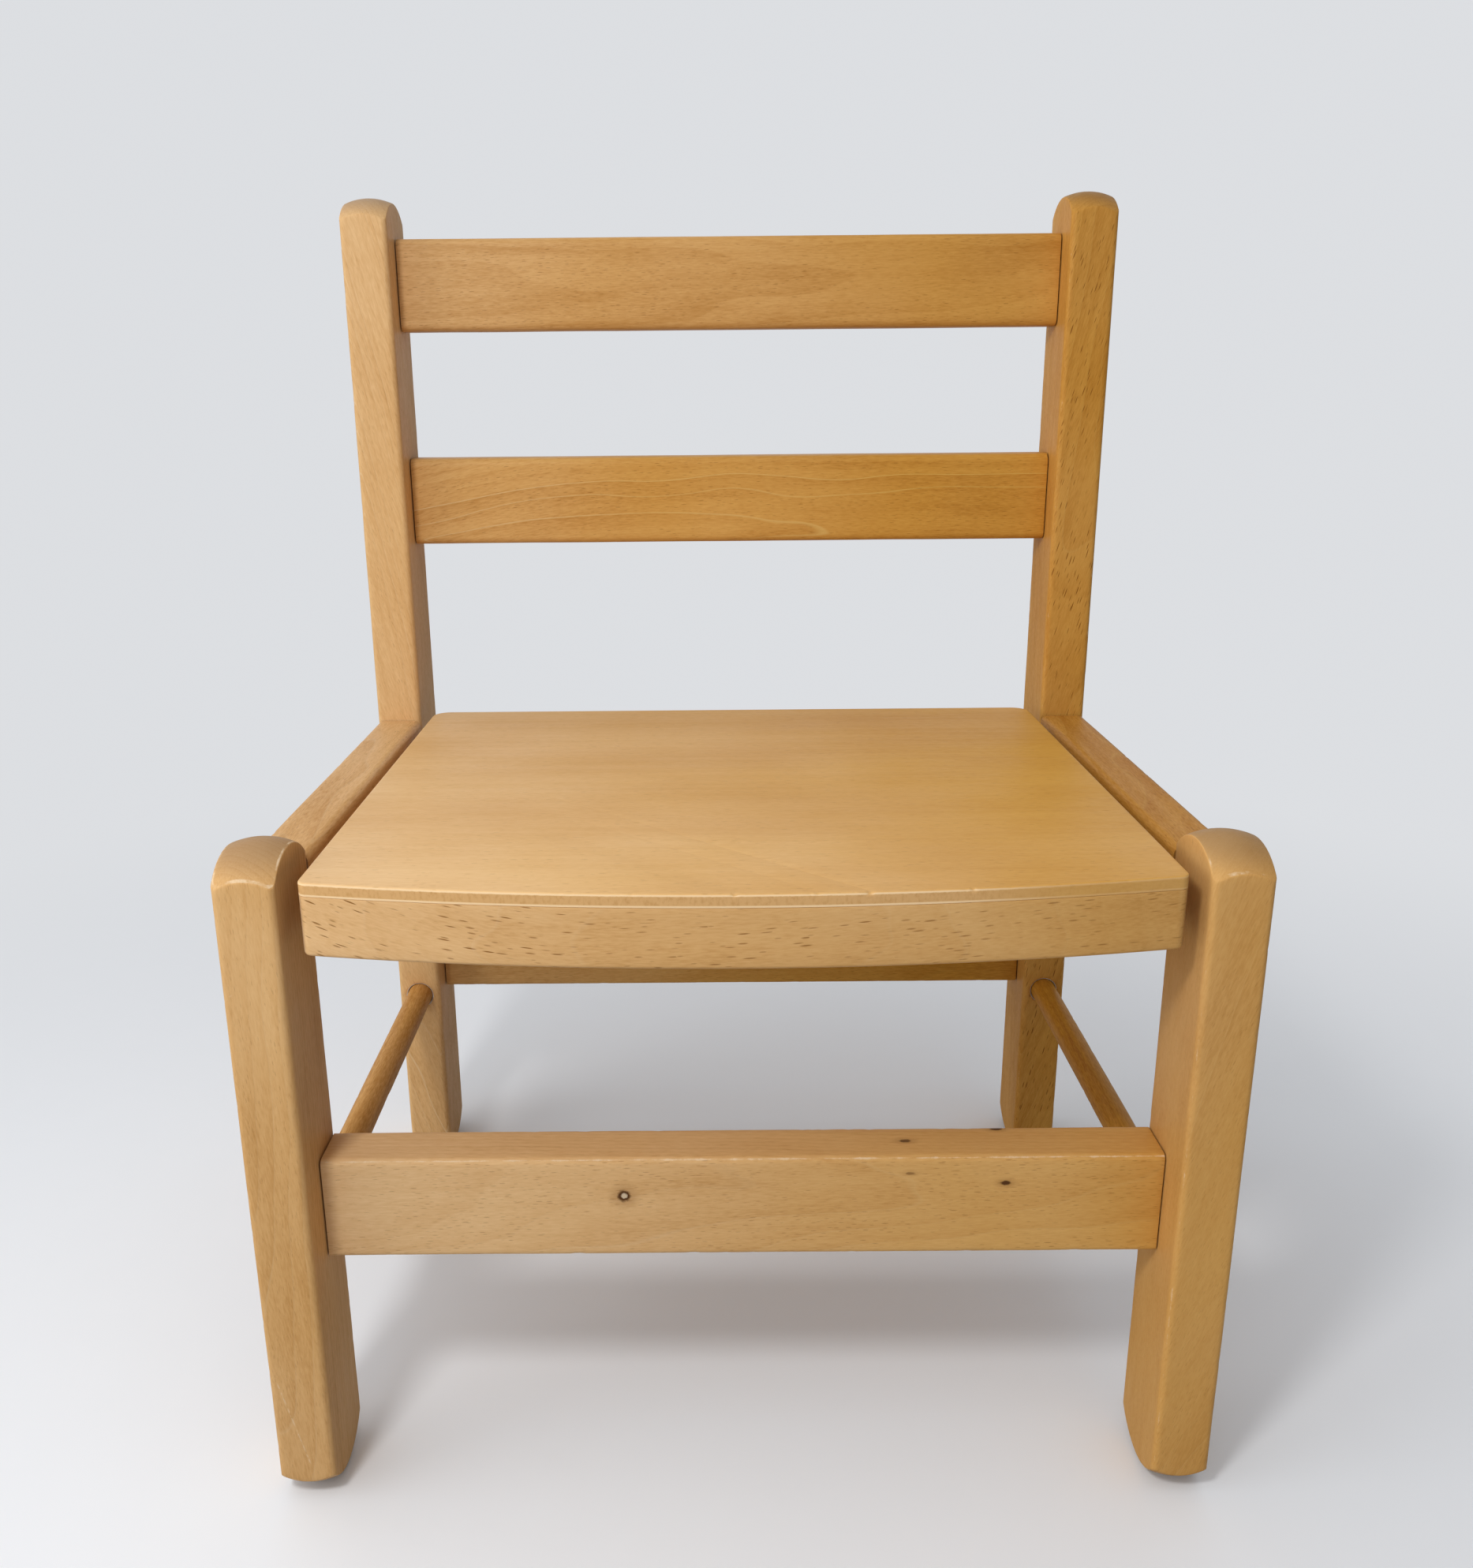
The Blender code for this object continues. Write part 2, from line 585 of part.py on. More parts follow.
def make_screws(parts, cutters):
    for end, y in (("front", FRONT_BEARER_Y), ("rear", REAR_BEARER_Y)):
        for side, sign in SIDES:
            name = f"seat_screw_{end}_{side}"
            place = Vector((sign * BATTEN_CENTRE_X, y, BEARER_UNDERSIDE))
            screw = turned_profile(name, screw_profile(0.0) + [(0.0, 0.0)], parts)
            add_turning(screw, SCREW_SIDES)
            screw.location = place
            set_material(screw, ZINC, ZINC_ROUGHNESS, metallic=1.0)

            hole_foot = [(SCREW_HEAD_DIAMETER / 2 + CLEARANCE, -CUT_OVERRUN), (0.0, -CUT_OVERRUN)]
            hole = turned_profile(f"hole_{name}", screw_profile(CLEARANCE) + hole_foot, cutters)
            add_turning(hole, SCREW_SIDES)
            hole.location = place
            hide_cutter(hole)
            for piece in (f"seat_bearer_{end}", f"seat_batten_{side}"):
                add_boolean(bpy.data.objects[piece], hole, "DIFFERENCE")


def main():
    clear_scene()
    parts = new_collection("kids_chair")
    cutters = new_collection("cutters")
    joinery = plan_joinery()
    make_legs(parts, cutters, joinery)
    make_side_rails(parts, cutters, joinery)
    make_cross_members(parts, cutters, joinery)
    make_side_dowels(parts)
    make_seat(parts, cutters, joinery)
    make_pins(parts, joinery)
    make_screws(parts, cutters)


main()
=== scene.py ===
"""Looks of a child's beech chair: lacquered beech, a plain floor, soft light and a camera."""
import json
import math

import bmesh
import bpy
from bpy.props import FloatProperty, FloatVectorProperty, PointerProperty
from mathutils import Matrix, Vector, noise

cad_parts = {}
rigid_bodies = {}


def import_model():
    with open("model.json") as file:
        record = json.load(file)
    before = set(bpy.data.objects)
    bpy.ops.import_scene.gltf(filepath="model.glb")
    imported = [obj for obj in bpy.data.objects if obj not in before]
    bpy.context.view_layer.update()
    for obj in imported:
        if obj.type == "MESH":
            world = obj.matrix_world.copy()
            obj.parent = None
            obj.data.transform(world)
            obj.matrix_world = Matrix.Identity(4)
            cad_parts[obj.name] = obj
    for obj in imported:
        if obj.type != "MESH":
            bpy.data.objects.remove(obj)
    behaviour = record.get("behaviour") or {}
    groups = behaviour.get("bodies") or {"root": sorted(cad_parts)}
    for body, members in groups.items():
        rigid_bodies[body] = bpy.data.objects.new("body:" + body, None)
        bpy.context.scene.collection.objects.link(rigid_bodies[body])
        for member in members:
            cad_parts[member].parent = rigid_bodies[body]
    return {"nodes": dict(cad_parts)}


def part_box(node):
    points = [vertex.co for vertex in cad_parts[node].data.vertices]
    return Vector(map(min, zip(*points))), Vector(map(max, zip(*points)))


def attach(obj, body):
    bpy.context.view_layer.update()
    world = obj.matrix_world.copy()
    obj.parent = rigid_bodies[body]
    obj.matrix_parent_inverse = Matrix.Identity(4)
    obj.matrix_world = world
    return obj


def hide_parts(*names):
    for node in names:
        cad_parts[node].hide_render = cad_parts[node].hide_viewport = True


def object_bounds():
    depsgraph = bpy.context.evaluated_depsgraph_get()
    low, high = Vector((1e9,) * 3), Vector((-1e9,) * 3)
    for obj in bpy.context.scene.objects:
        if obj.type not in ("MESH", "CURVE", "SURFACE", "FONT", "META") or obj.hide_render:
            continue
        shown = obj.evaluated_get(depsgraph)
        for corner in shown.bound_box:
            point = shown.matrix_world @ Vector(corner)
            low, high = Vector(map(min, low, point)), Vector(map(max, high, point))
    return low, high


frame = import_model()

bl_info = {
    "name": "Child's Beech Chair",
    "version": (1, 0, 0),
    "blender": (4, 5, 0),
    "location": "View3D > Sidebar > Chair",
    "description": "Dresses the frame of a child's chair in lacquered beech and lights it",
    "category": "Object",
}

MM = 0.001
CAD_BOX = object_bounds()
SIDES = ("left", "right")
SEAT_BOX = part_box("seat_top")
APRON_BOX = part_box("seat_apron")

# The world axes that stand for across, across and along in a piece's own grain
ALONG_X = (1, 2, 0)
ALONG_Y = (2, 0, 1)
ALONG_Z = (0, 1, 2)

# The beech's figure, as noise scales across the fibres and along them
DRIFT = (22.0, 6.0)
FIBRE = (1700.0, 230.0)
STREAK = (240.0, 8.0)
MOTTLE = (420.0, 190.0)
BLOTCH = (26.0, 8.0)
RING_WANDER = 9.0 * MM

# The cell that holds one ray fleck, and how far from the pith its width is true
FLECK_DEPTH = 6.0 * MM
FLECK_LENGTH = 6.0 * MM
FLECK_WIDTH = 2.0 * MM
FLECK_REACH = 100.0 * MM

# A cut's figure, where nothing else is said of it
FIGURE = {
    "flecks": 0.5, "fleck_length": 0.7, "fleck_width": 1.2, "fleck_spacing": 0.6, "rings": 0.8,
    "pale_lines": 0.2, "contrast": 1.0, "warmth": 0.0,
}

# How far before a piece's middle its grain starts to bend, and how deep the grain feels
BEND_START = 40.0 * MM
BUMP_DISTANCE = 0.1 * MM

# Pin knots, by piece: place and radius in millimetres, and what sets each apart
KNOTS = {
    "front_stretcher": (
        ((-44.4, -118.75, 123.9), 2.5, {"pale_heart": True}),
        ((98.7, -118.75, 128.2), 1.0, {"stretch": 1.9}),
        ((62.8, -118.75, 132.6), 0.6, {"stretch": 3.0, "dark": 0.5}),
        ((62.2, -107.2, 139.6), 1.1, {"stretch": 2.2, "dark": 0.85}),
        ((98.4, -99.0, 139.6), 1.2, {"stretch": 2.0}),
    ),
}

# Scratches, by piece: start, stop and width in millimetres, and how pale they are
SCRATCHES = {
    "front_leg_left": (
        ((-177.0, 56.0), (-167.0, 16.0), 0.4, 0.45),
        ((-179.0, 213.0), (-175.5, 216.5), 0.5, 0.5),
    ),
}
SCRATCH_TAPER = 3.0 * MM

# Joints and rods
ROD_ROUNDNESS = 0.998
SOCKET_SIDES = 48
SOCKET_CLEARANCE = 0.25 * MM
SOCKET_END_ROOM = 0.3 * MM
SOCKET_SHARP_ANGLE = math.radians(50)

# Seat and apron
SLAB_SHARP_ANGLE = math.radians(35)
SEAT_EDGE_STEP = 0.8 * MM
APRON_EDGE_STEP = 2.0 * MM
FLAT_RIM = 0.8 * MM
LOWER_PLY_ARRIS = 0.3 * MM
UPPER_APRON_ARRIS = 0.1 * MM
APRON_SKIN_GAP = 0.02 * MM
CHIP_BAND = 1.1 * MM
CHIP_GRAIN = (1.6 * MM, 3.0 * MM)
CHIP_CLUSTER = 9.0 * MM
WORN_BAND = 1.2 * MM
VENEER_BLUR = 0.15 * MM
CORE_RAGGEDNESS = 0.5 * MM
CORE_RAGS = (650.0, 90.0)
CORE_SPECKS = (900.0, 500.0)
EDGE_FADE = (60.0 * MM, 115.0 * MM)

# Screws
SCREW_SIDES = 32
SCREW_TIP = 4.0 * MM
SCREW_RECESS = 4.6 * MM
ZINC_LIGHT = (0.62, 0.60, 0.56)
ZINC_DARK = (0.44, 0.43, 0.41)

# Stage
FLOOR_RADIUS = 6.0
FLOOR_SIDES = 96
FLOOR_FADE = (0.30, 0.95)
SENSOR_HEIGHT = 36.0
WHITE = (1.0, 1.0, 1.0)
KEY_TONE = (1.0, 0.99, 0.98)
ROOM_TONE = (0.97, 0.98, 1.0)
ROOM_EVENNESS = 0.55
ROOM_LEAST = 0.05


# Settings a user would change
def colour_setting(name, description, value):
    return FloatVectorProperty(
        name=name, description=description, subtype="COLOR", default=value, min=0.0, max=1.0,
    )


def length_setting(name, description, value, low, high):
    """A length, its default and range given in millimetres."""
    return FloatProperty(
        name=name, description=description, unit="LENGTH",
        default=value * MM, min=low * MM, max=high * MM,
    )


def place_setting(name, description, value):
    """A place, its default given in millimetres."""
    return FloatVectorProperty(
        name=name, description=description, subtype="TRANSLATION", unit="LENGTH",
        default=[axis * MM for axis in value],
    )


def number_setting(name, description, value, low, high, **kind):
    return FloatProperty(name=name, description=description, default=value, min=low, max=high, **kind)


def angle_setting(name, description, value):
    return FloatProperty(name=name, description=description, subtype="ANGLE", default=value)


class BeechSettings(bpy.types.PropertyGroup):
    """Colours and figure of the lacquered beech."""

    pale: colour_setting("Pale wood", "Colour of the palest growth", (0.85, 0.58, 0.31))
    honey: colour_setting("Honey wood", "Colour of most of the wood", (0.71, 0.434, 0.20))
    deep: colour_setting("Deep wood", "Colour of the darkest growth", (0.47, 0.225, 0.055))
    fleck: colour_setting("Ray flecks", "Colour of the short dark ray flecks", (0.27, 0.12, 0.03))
    # Amber: the lacquer's yellowing, and also painted shade, strongest on the chair's right side and towards
    # its back.
    amber: colour_setting("Amber", "Tint of the lacquer where it has yellowed most", (0.785, 0.60, 0.15))
    worn: colour_setting("Worn arris", "Colour of the bare wood along worn arrises", (0.85, 0.67, 0.45))
    knot: colour_setting("Pin knots", "Colour of the bark in the pin knots", (0.10, 0.04, 0.012))
    end_grain: colour_setting(
        "End grain", "Tint of the handled end grain on the domes", (0.63, 0.65, 0.76),
    )
    ring_width: length_setting("Ring width", "Mean width of a year's growth", 2.4, 0.5, 10.0)
    lacquer_roughness: number_setting(
        "Lacquer roughness", "Mean roughness of the clear lacquer", 0.44, 0.05, 1.0, subtype="FACTOR",
    )


class WoodworkSettings(bpy.types.PropertyGroup):
    """Sizes of the rounded and worn edges."""

    rail_arris: length_setting("Rail arris", "Radius of the long edges of rails and slats", 3.5, 0.2, 8.0)
    stretcher_arris: length_setting(
        "Stretcher arris", "Radius of the long edges of stretchers", 2.5, 0.2, 8.0,
    )
    leg_arris: length_setting("Leg arris", "Radius of the upright edges of legs and posts", 2.5, 0.2, 8.0)
    batten_arris: length_setting(
        "Batten arris", "Radius of the long edges under the seat", 1.0, 0.2, 4.0,
    )
    crease: length_setting("Crease", "Radius where a dome meets the sides of a leg", 0.45, 0.1, 2.0)
    shoulder: length_setting("Shoulder", "Radius where a bar's end meets a leg", 0.3, 0.1, 2.0)
    dome_radius: length_setting(
        "Dome radius", "Radius of the rounded ends of legs and posts", 27.0, 23.5, 80.0,
    )
    socket_mouth: length_setting(
        "Socket mouth", "How far a rod's socket opens out at its mouth", 0.7, 0.1, 3.0,
    )
    waviness: length_setting("Waviness", "How far sanded faces depart from flat", 0.12, 0.0, 1.0)
    dent_depth: length_setting("Dent depth", "Depth of the dents along the arrises", 0.3, 0.0, 2.0)
    grid_step: length_setting("Grid step", "Spacing of the mesh along a piece", 2.0, 1.0, 20.0)


class SeatSettings(bpy.types.PropertyGroup):
    """The plywood seat and the apron under it."""

    bow: length_setting("Bow", "How far the middle of the front stands before its corners", 14.0, 0.0, 60.0)
    front_corner: length_setting("Front corner", "Radius of the front corners", 4.0, 0.5, 20.0)
    back_corner: length_setting("Back corner", "Radius of the seat's back corners", 8.0, 0.5, 40.0)
    face_veneer: length_setting("Face veneer", "Thickness of the plywood's outer sheets", 0.9, 0.2, 3.0)
    top_arris: length_setting("Top arris", "Radius of the plywood's upper edge", 0.7, 0.1, 2.0)
    apron_arris: length_setting("Apron arris", "Radius of the apron's lower edges", 1.5, 0.2, 5.0)
    chip_depth: length_setting("Chip depth", "Depth of the chips in the plywood's front edge", 0.7, 0.0, 2.0)
    core: colour_setting("Core", "Colour of the plywood's middle sheet, seen end on", (0.68, 0.40, 0.165))
    edge: colour_setting("Veneer edge", "Colour of the outer sheets, seen on their edge", (0.90, 0.64, 0.36))


class StageSettings(bpy.types.PropertyGroup):
    """The camera, the floor and the light."""

    camera_place: place_setting("Camera place", "Where the camera stands", (-11.0, -561.6, 415.8))
    camera_pitch: angle_setting("Pitch", "How far the camera looks down", 0.2898)
    camera_yaw: angle_setting("Yaw", "How far the camera turns to its right", -0.0033)
    camera_roll: angle_setting("Roll", "How far the camera leans", -0.0093)
    lens: number_setting("Lens", "Focal length in millimetres for a 36 mm high sensor", 31.024, 10.0, 200.0)
    shift_x: number_setting(
        "Shift across", "Share of the picture's height that the picture is moved across", 0.0199, -1.0, 1.0,
    )
    shift_y: number_setting(
        "Shift up", "Share of the picture's height that the picture is moved up", 0.00243, -1.0, 1.0,
    )
    floor_tone: colour_setting("Floor", "Colour of the plain floor", (0.94, 0.965, 1.0))
    floor_bounce: number_setting(
        "Floor bounce", "Share of its light that the floor throws back on the chair", 0.6, 0.0, 1.0,
        subtype="FACTOR",
    )
    backdrop_tone: colour_setting("Backdrop", "Colour of the plain surround", (0.72, 0.735, 0.76))
    ambient: number_setting("Ambient", "Strength of the light from all round", 0.57, 0.0, 3.0)
    bright_side: FloatVectorProperty(
        name="Bright side", description="The side of the room that most light comes from",
        subtype="DIRECTION", default=(-0.8, -0.2, 1.0),
    )
    key_power: number_setting(
        "Key light", "Power of the lamp at the upper left", 2.45, 0.0, 100.0, unit="POWER",
    )
    key_place: place_setting("Key place", "Where the key lamp hangs", (-280.0, -570.0, 750.0))
    key_size: length_setting("Key size", "Diameter of the key lamp", 140.0, 10.0, 2000.0)
    window_power: number_setting(
        "Window light", "Power of the broad lamp on the left", 4.2, 0.0, 100.0, unit="POWER",
    )
    window_place: place_setting("Window place", "Where the broad lamp hangs", (-1400.0, -500.0, 550.0))
    window_size: length_setting("Window size", "Diameter of the broad lamp", 1000.0, 10.0, 4000.0)


class ChairSettings(bpy.types.PropertyGroup):
    """All the settings of the chair."""

    beech: PointerProperty(type=BeechSettings)
    woodwork: PointerProperty(type=WoodworkSettings)
    seat: PointerProperty(type=SeatSettings)
    stage: PointerProperty(type=StageSettings)


# Formulas written as node trees
class Field:
    """A socket on which plain arithmetic makes Math nodes."""

    def __init__(self, sheet, socket):
        self.sheet = sheet
        self.socket = socket

    def __add__(self, other):
        return self.sheet.math("ADD", self, other)

    def __sub__(self, other):
        return self.sheet.math("SUBTRACT", self, other)

    def __rsub__(self, other):
        return self.sheet.math("SUBTRACT", other, self)

    def __mul__(self, other):
        return self.sheet.math("MULTIPLY", self, other)

    def __truediv__(self, other):
        return self.sheet.math("DIVIDE", self, other)

    __rmul__ = __mul__

    def __abs__(self):
        return self.sheet.math("ABSOLUTE", self)

    def ramp(self, low, high):
        """0 below low, 1 above high, and smooth between them."""
        feeds = {"Value": self, "From Min": low, "From Max": high}
        return self.sheet.field("ShaderNodeMapRange", "Result", feeds, interpolation_type="SMOOTHSTEP")

    def fall(self, low, high):
        """1 below low, 0 above high, and smooth between them."""
        return 1.0 - self.ramp(low, high)


class Sheet:
    """A node tree with short calls for the nodes that the chair needs."""

    def __init__(self, tree):
        self.tree = tree

    def feed(self, node, feeds):
        """Feeds a node's inputs, by name or by number, with fields, sockets or plain values."""
        for label, value in feeds.items():
            socket = node.inputs[label]
            if isinstance(value, Field):
                value = value.socket
            if isinstance(value, bpy.types.NodeSocket):
                self.tree.links.new(value, socket)
            elif socket.type == "RGBA":
                socket.default_value = (*value, 1.0)
            else:
                socket.default_value = value

    def node(self, kind, feeds=None, **settings):
        node = self.tree.nodes.new(kind)
        for name, value in settings.items():
            setattr(node, name, value)
        self.feed(node, feeds or {})
        return node

    def field(self, kind, output, feeds=None, **settings):
        """A new node's output as a field."""
        return Field(self, self.node(kind, feeds, **settings).outputs[output])

    def chain(self, kind, geometry, **inputs):
        """A geometry node that takes the geometry so far and hands it on."""
        return self.node(kind, {0: geometry, **inputs}).outputs[0]

    def math(self, operation, *values):
        return self.field("ShaderNodeMath", "Value", dict(enumerate(values)), operation=operation)

    def vector_math(self, operation, output, *values):
        return self.field("ShaderNodeVectorMath", output, dict(enumerate(values)), operation=operation)

    def split(self, vector):
        return [Field(self, socket) for socket in self.node("ShaderNodeSeparateXYZ", {0: vector}).outputs]

    def join(self, x, y, z):
        return self.field("ShaderNodeCombineXYZ", "Vector", {0: x, 1: y, 2: z})

    def drawn_out(self, place, scales):
        """A place scaled by one number across its third axis and by another along it."""
        return self.join(place[0] * scales[0], place[1] * scales[0], place[2] * scales[1])

    def distance(self, *axes):
        return self.math("SQRT", sum((axis * axis for axis in axes[1:]), axes[0] * axes[0]))

    def object_place(self):
        return self.field("ShaderNodeTexCoord", "Object")

    def noise(self, vector, output="Fac", scale=1.0, detail=2.0, roughness=0.5):
        """Noise between 0 and 1."""
        feeds = {"Vector": vector, "Scale": scale, "Detail": detail, "Roughness": roughness}
        return self.field("ShaderNodeTexNoise", output, feeds)

    def swing(self, vector, **settings):
        """Noise that swings about zero."""
        return self.noise(vector, **settings) - 0.5

    def blend(self, share, first, second, kind="MIX"):
        feeds = {"Factor": share, 6: first, 7: second}
        return self.node("ShaderNodeMix", feeds, data_type="RGBA", blend_type=kind).outputs[2]

    def mix_shaders(self, share, first, second, end):
        mix = self.node("ShaderNodeMixShader", {0: share, 1: first.outputs[0], 2: second.outputs[0]})
        self.feed(self.tree.nodes[end], {"Surface": mix.outputs["Shader"]})


def group_tree(name, kind, inputs, outputs):
    """An empty node group with named sockets, its inputs as fields, and its output node."""
    tree = bpy.data.node_groups.new(name, kind)
    for in_out, sockets in (("INPUT", inputs), ("OUTPUT", outputs)):
        for label, socket_kind in sockets.items():
            tree.interface.new_socket(label, in_out=in_out, socket_type=f"NodeSocket{socket_kind}")
    sheet = Sheet(tree)
    given = sheet.node("NodeGroupInput")
    fields = {label: Field(sheet, given.outputs[label]) for label in inputs}
    return sheet, fields, sheet.node("NodeGroupOutput")


def blank_material(name):
    """A new material, its sheet of nodes and its shader."""
    material = bpy.data.materials.new(name)
    material.use_nodes = True
    return material, Sheet(material.node_tree), material.node_tree.nodes["Principled BSDF"]


# Beech
def socket_name(setting):
    return setting.replace("_", " ").title()


def beech_group(beech):
    """Solid beech: rings about a far pith, fibres along Z, and ray flecks that run towards the pith."""
    inputs = {"Place": "Vector", "Facing": "Vector"}
    inputs.update({socket_name(setting): "Float" for setting in ("wear", "end", "amber", *FIGURE)})
    outputs = {"Color": "Color", "Roughness": "Float", "Height": "Float"}
    sheet, given, result = group_tree("beech_figure", "ShaderNodeTree", inputs, outputs)
    place = x, y, z = sheet.split(given["Place"])

    drift_x, drift_y, drift_z = sheet.split(sheet.noise(sheet.drawn_out(place, DRIFT), "Color"))
    x_ring = x + (drift_x - 0.5) * RING_WANDER
    y_ring = y + (drift_y - 0.5) * RING_WANDER
    reach = sheet.distance(x_ring, y_ring)
    age = reach / beech.ring_width + (drift_z - 0.5) * 2.0
    season = sheet.math("FRACT", age)
    year = {"W": sheet.math("FLOOR", age)}
    year_share = sheet.field("ShaderNodeTexWhiteNoise", "Value", year, noise_dimensions="1D")
    late = season.ramp(0.3, 0.95) * season.fall(0.95, 1.0)
    pale_line = season.ramp(0.90, 0.97) * season.fall(0.97, 1.0) * year_share.ramp(0.2, 0.7)

    fibre, streak, mottle = (
        sheet.swing(sheet.drawn_out(place, scales)) for scales in (FIBRE, STREAK, MOTTLE)
    )
    blotch = sheet.swing(sheet.drawn_out(place, BLOTCH), detail=3.0)

    arc_length = sheet.math("ARCTAN2", y_ring, x_ring) * FLECK_REACH
    cell = sheet.join(
        reach / FLECK_DEPTH, arc_length / (given["Fleck Spacing"] * FLECK_WIDTH),
        z / (given["Fleck Length"] * FLECK_LENGTH),
    )
    spots = sheet.node("ShaderNodeTexVoronoi", {"Vector": cell, "Scale": 1.0}, feature="F1")
    gap = sheet.vector_math("SUBTRACT", "Vector", cell, spots.outputs["Position"])
    gap_r, gap_t, gap_z = sheet.split(gap)
    pick, size, stoutness = sheet.split(spots.outputs["Color"])
    half_length = size * 0.22 + 0.16
    half_width = (stoutness * 0.08 + 0.10) * given["Fleck Width"]
    far = sheet.distance(gap_r / 0.4, gap_t / half_width, gap_z / half_length)
    facing_x, facing_y, _ = sheet.split(given["Facing"])
    flat_sawn = abs(facing_x * x + facing_y * y) / sheet.distance(x, y)
    spot = far.fall(0.5, 1.15) * pick.ramp(0.2, 0.5) * (size * 0.6 + 0.4) * (1.0 - given["End"])
    spot = spot * flat_sawn.ramp(0.35, 0.9)

    long_grain = 1.0 - given["End"] * 0.45
    tone = (fibre * 0.85 + streak * 0.40 + mottle * 0.08) * given["Contrast"] * long_grain + blotch * 0.65
    tone = tone + given["Warmth"]
    tone = tone + (late * 0.13 + (year_share - 0.5) * 0.09) * given["Rings"] * long_grain
    ramp = sheet.node("ShaderNodeValToRGB", {"Fac": tone + 0.46})
    stops = ramp.color_ramp.elements
    stops[0].color = (*beech.pale, 1.0)
    stops[1].color = (*beech.deep, 1.0)
    stops.new(0.5).color = (*beech.honey, 1.0)
    colour = sheet.blend(spot * given["Flecks"], ramp.outputs["Color"], beech.fleck)
    colour = sheet.blend(pale_line * given["Pale Lines"], colour, beech.worn)
    # The amber tint: the lacquer's yellowing, and painted shade that darkens the wood and turns it orange
    # towards the chair's right and back.
    yellow_and_shade = sheet.blend(given["Amber"].ramp(-0.3, 1.3), WHITE, beech.amber)
    handled = sheet.blend(given["End"], WHITE, beech.end_grain)
    for tint in (yellow_and_shade, handled):
        colour = sheet.blend(1.0, colour, tint, "MULTIPLY")

    rub = sheet.noise(given["Place"], scale=160.0, detail=4.0, roughness=0.7)
    rubbed = (given["Wear"] * given["Wear"] * 0.36 + rub).ramp(0.84, 1.1)
    sheet.feed(result, {
        "Color": sheet.blend(rubbed * 0.65, colour, beech.worn),
        "Roughness": fibre * 0.12 + mottle * 0.12 + streak * 0.15 + rubbed * 0.2 + beech.lacquer_roughness,
        "Height": fibre * 0.4 + mottle * 0.4 + late * 0.15 - spot * 0.5 + blotch * 0.6,
    })


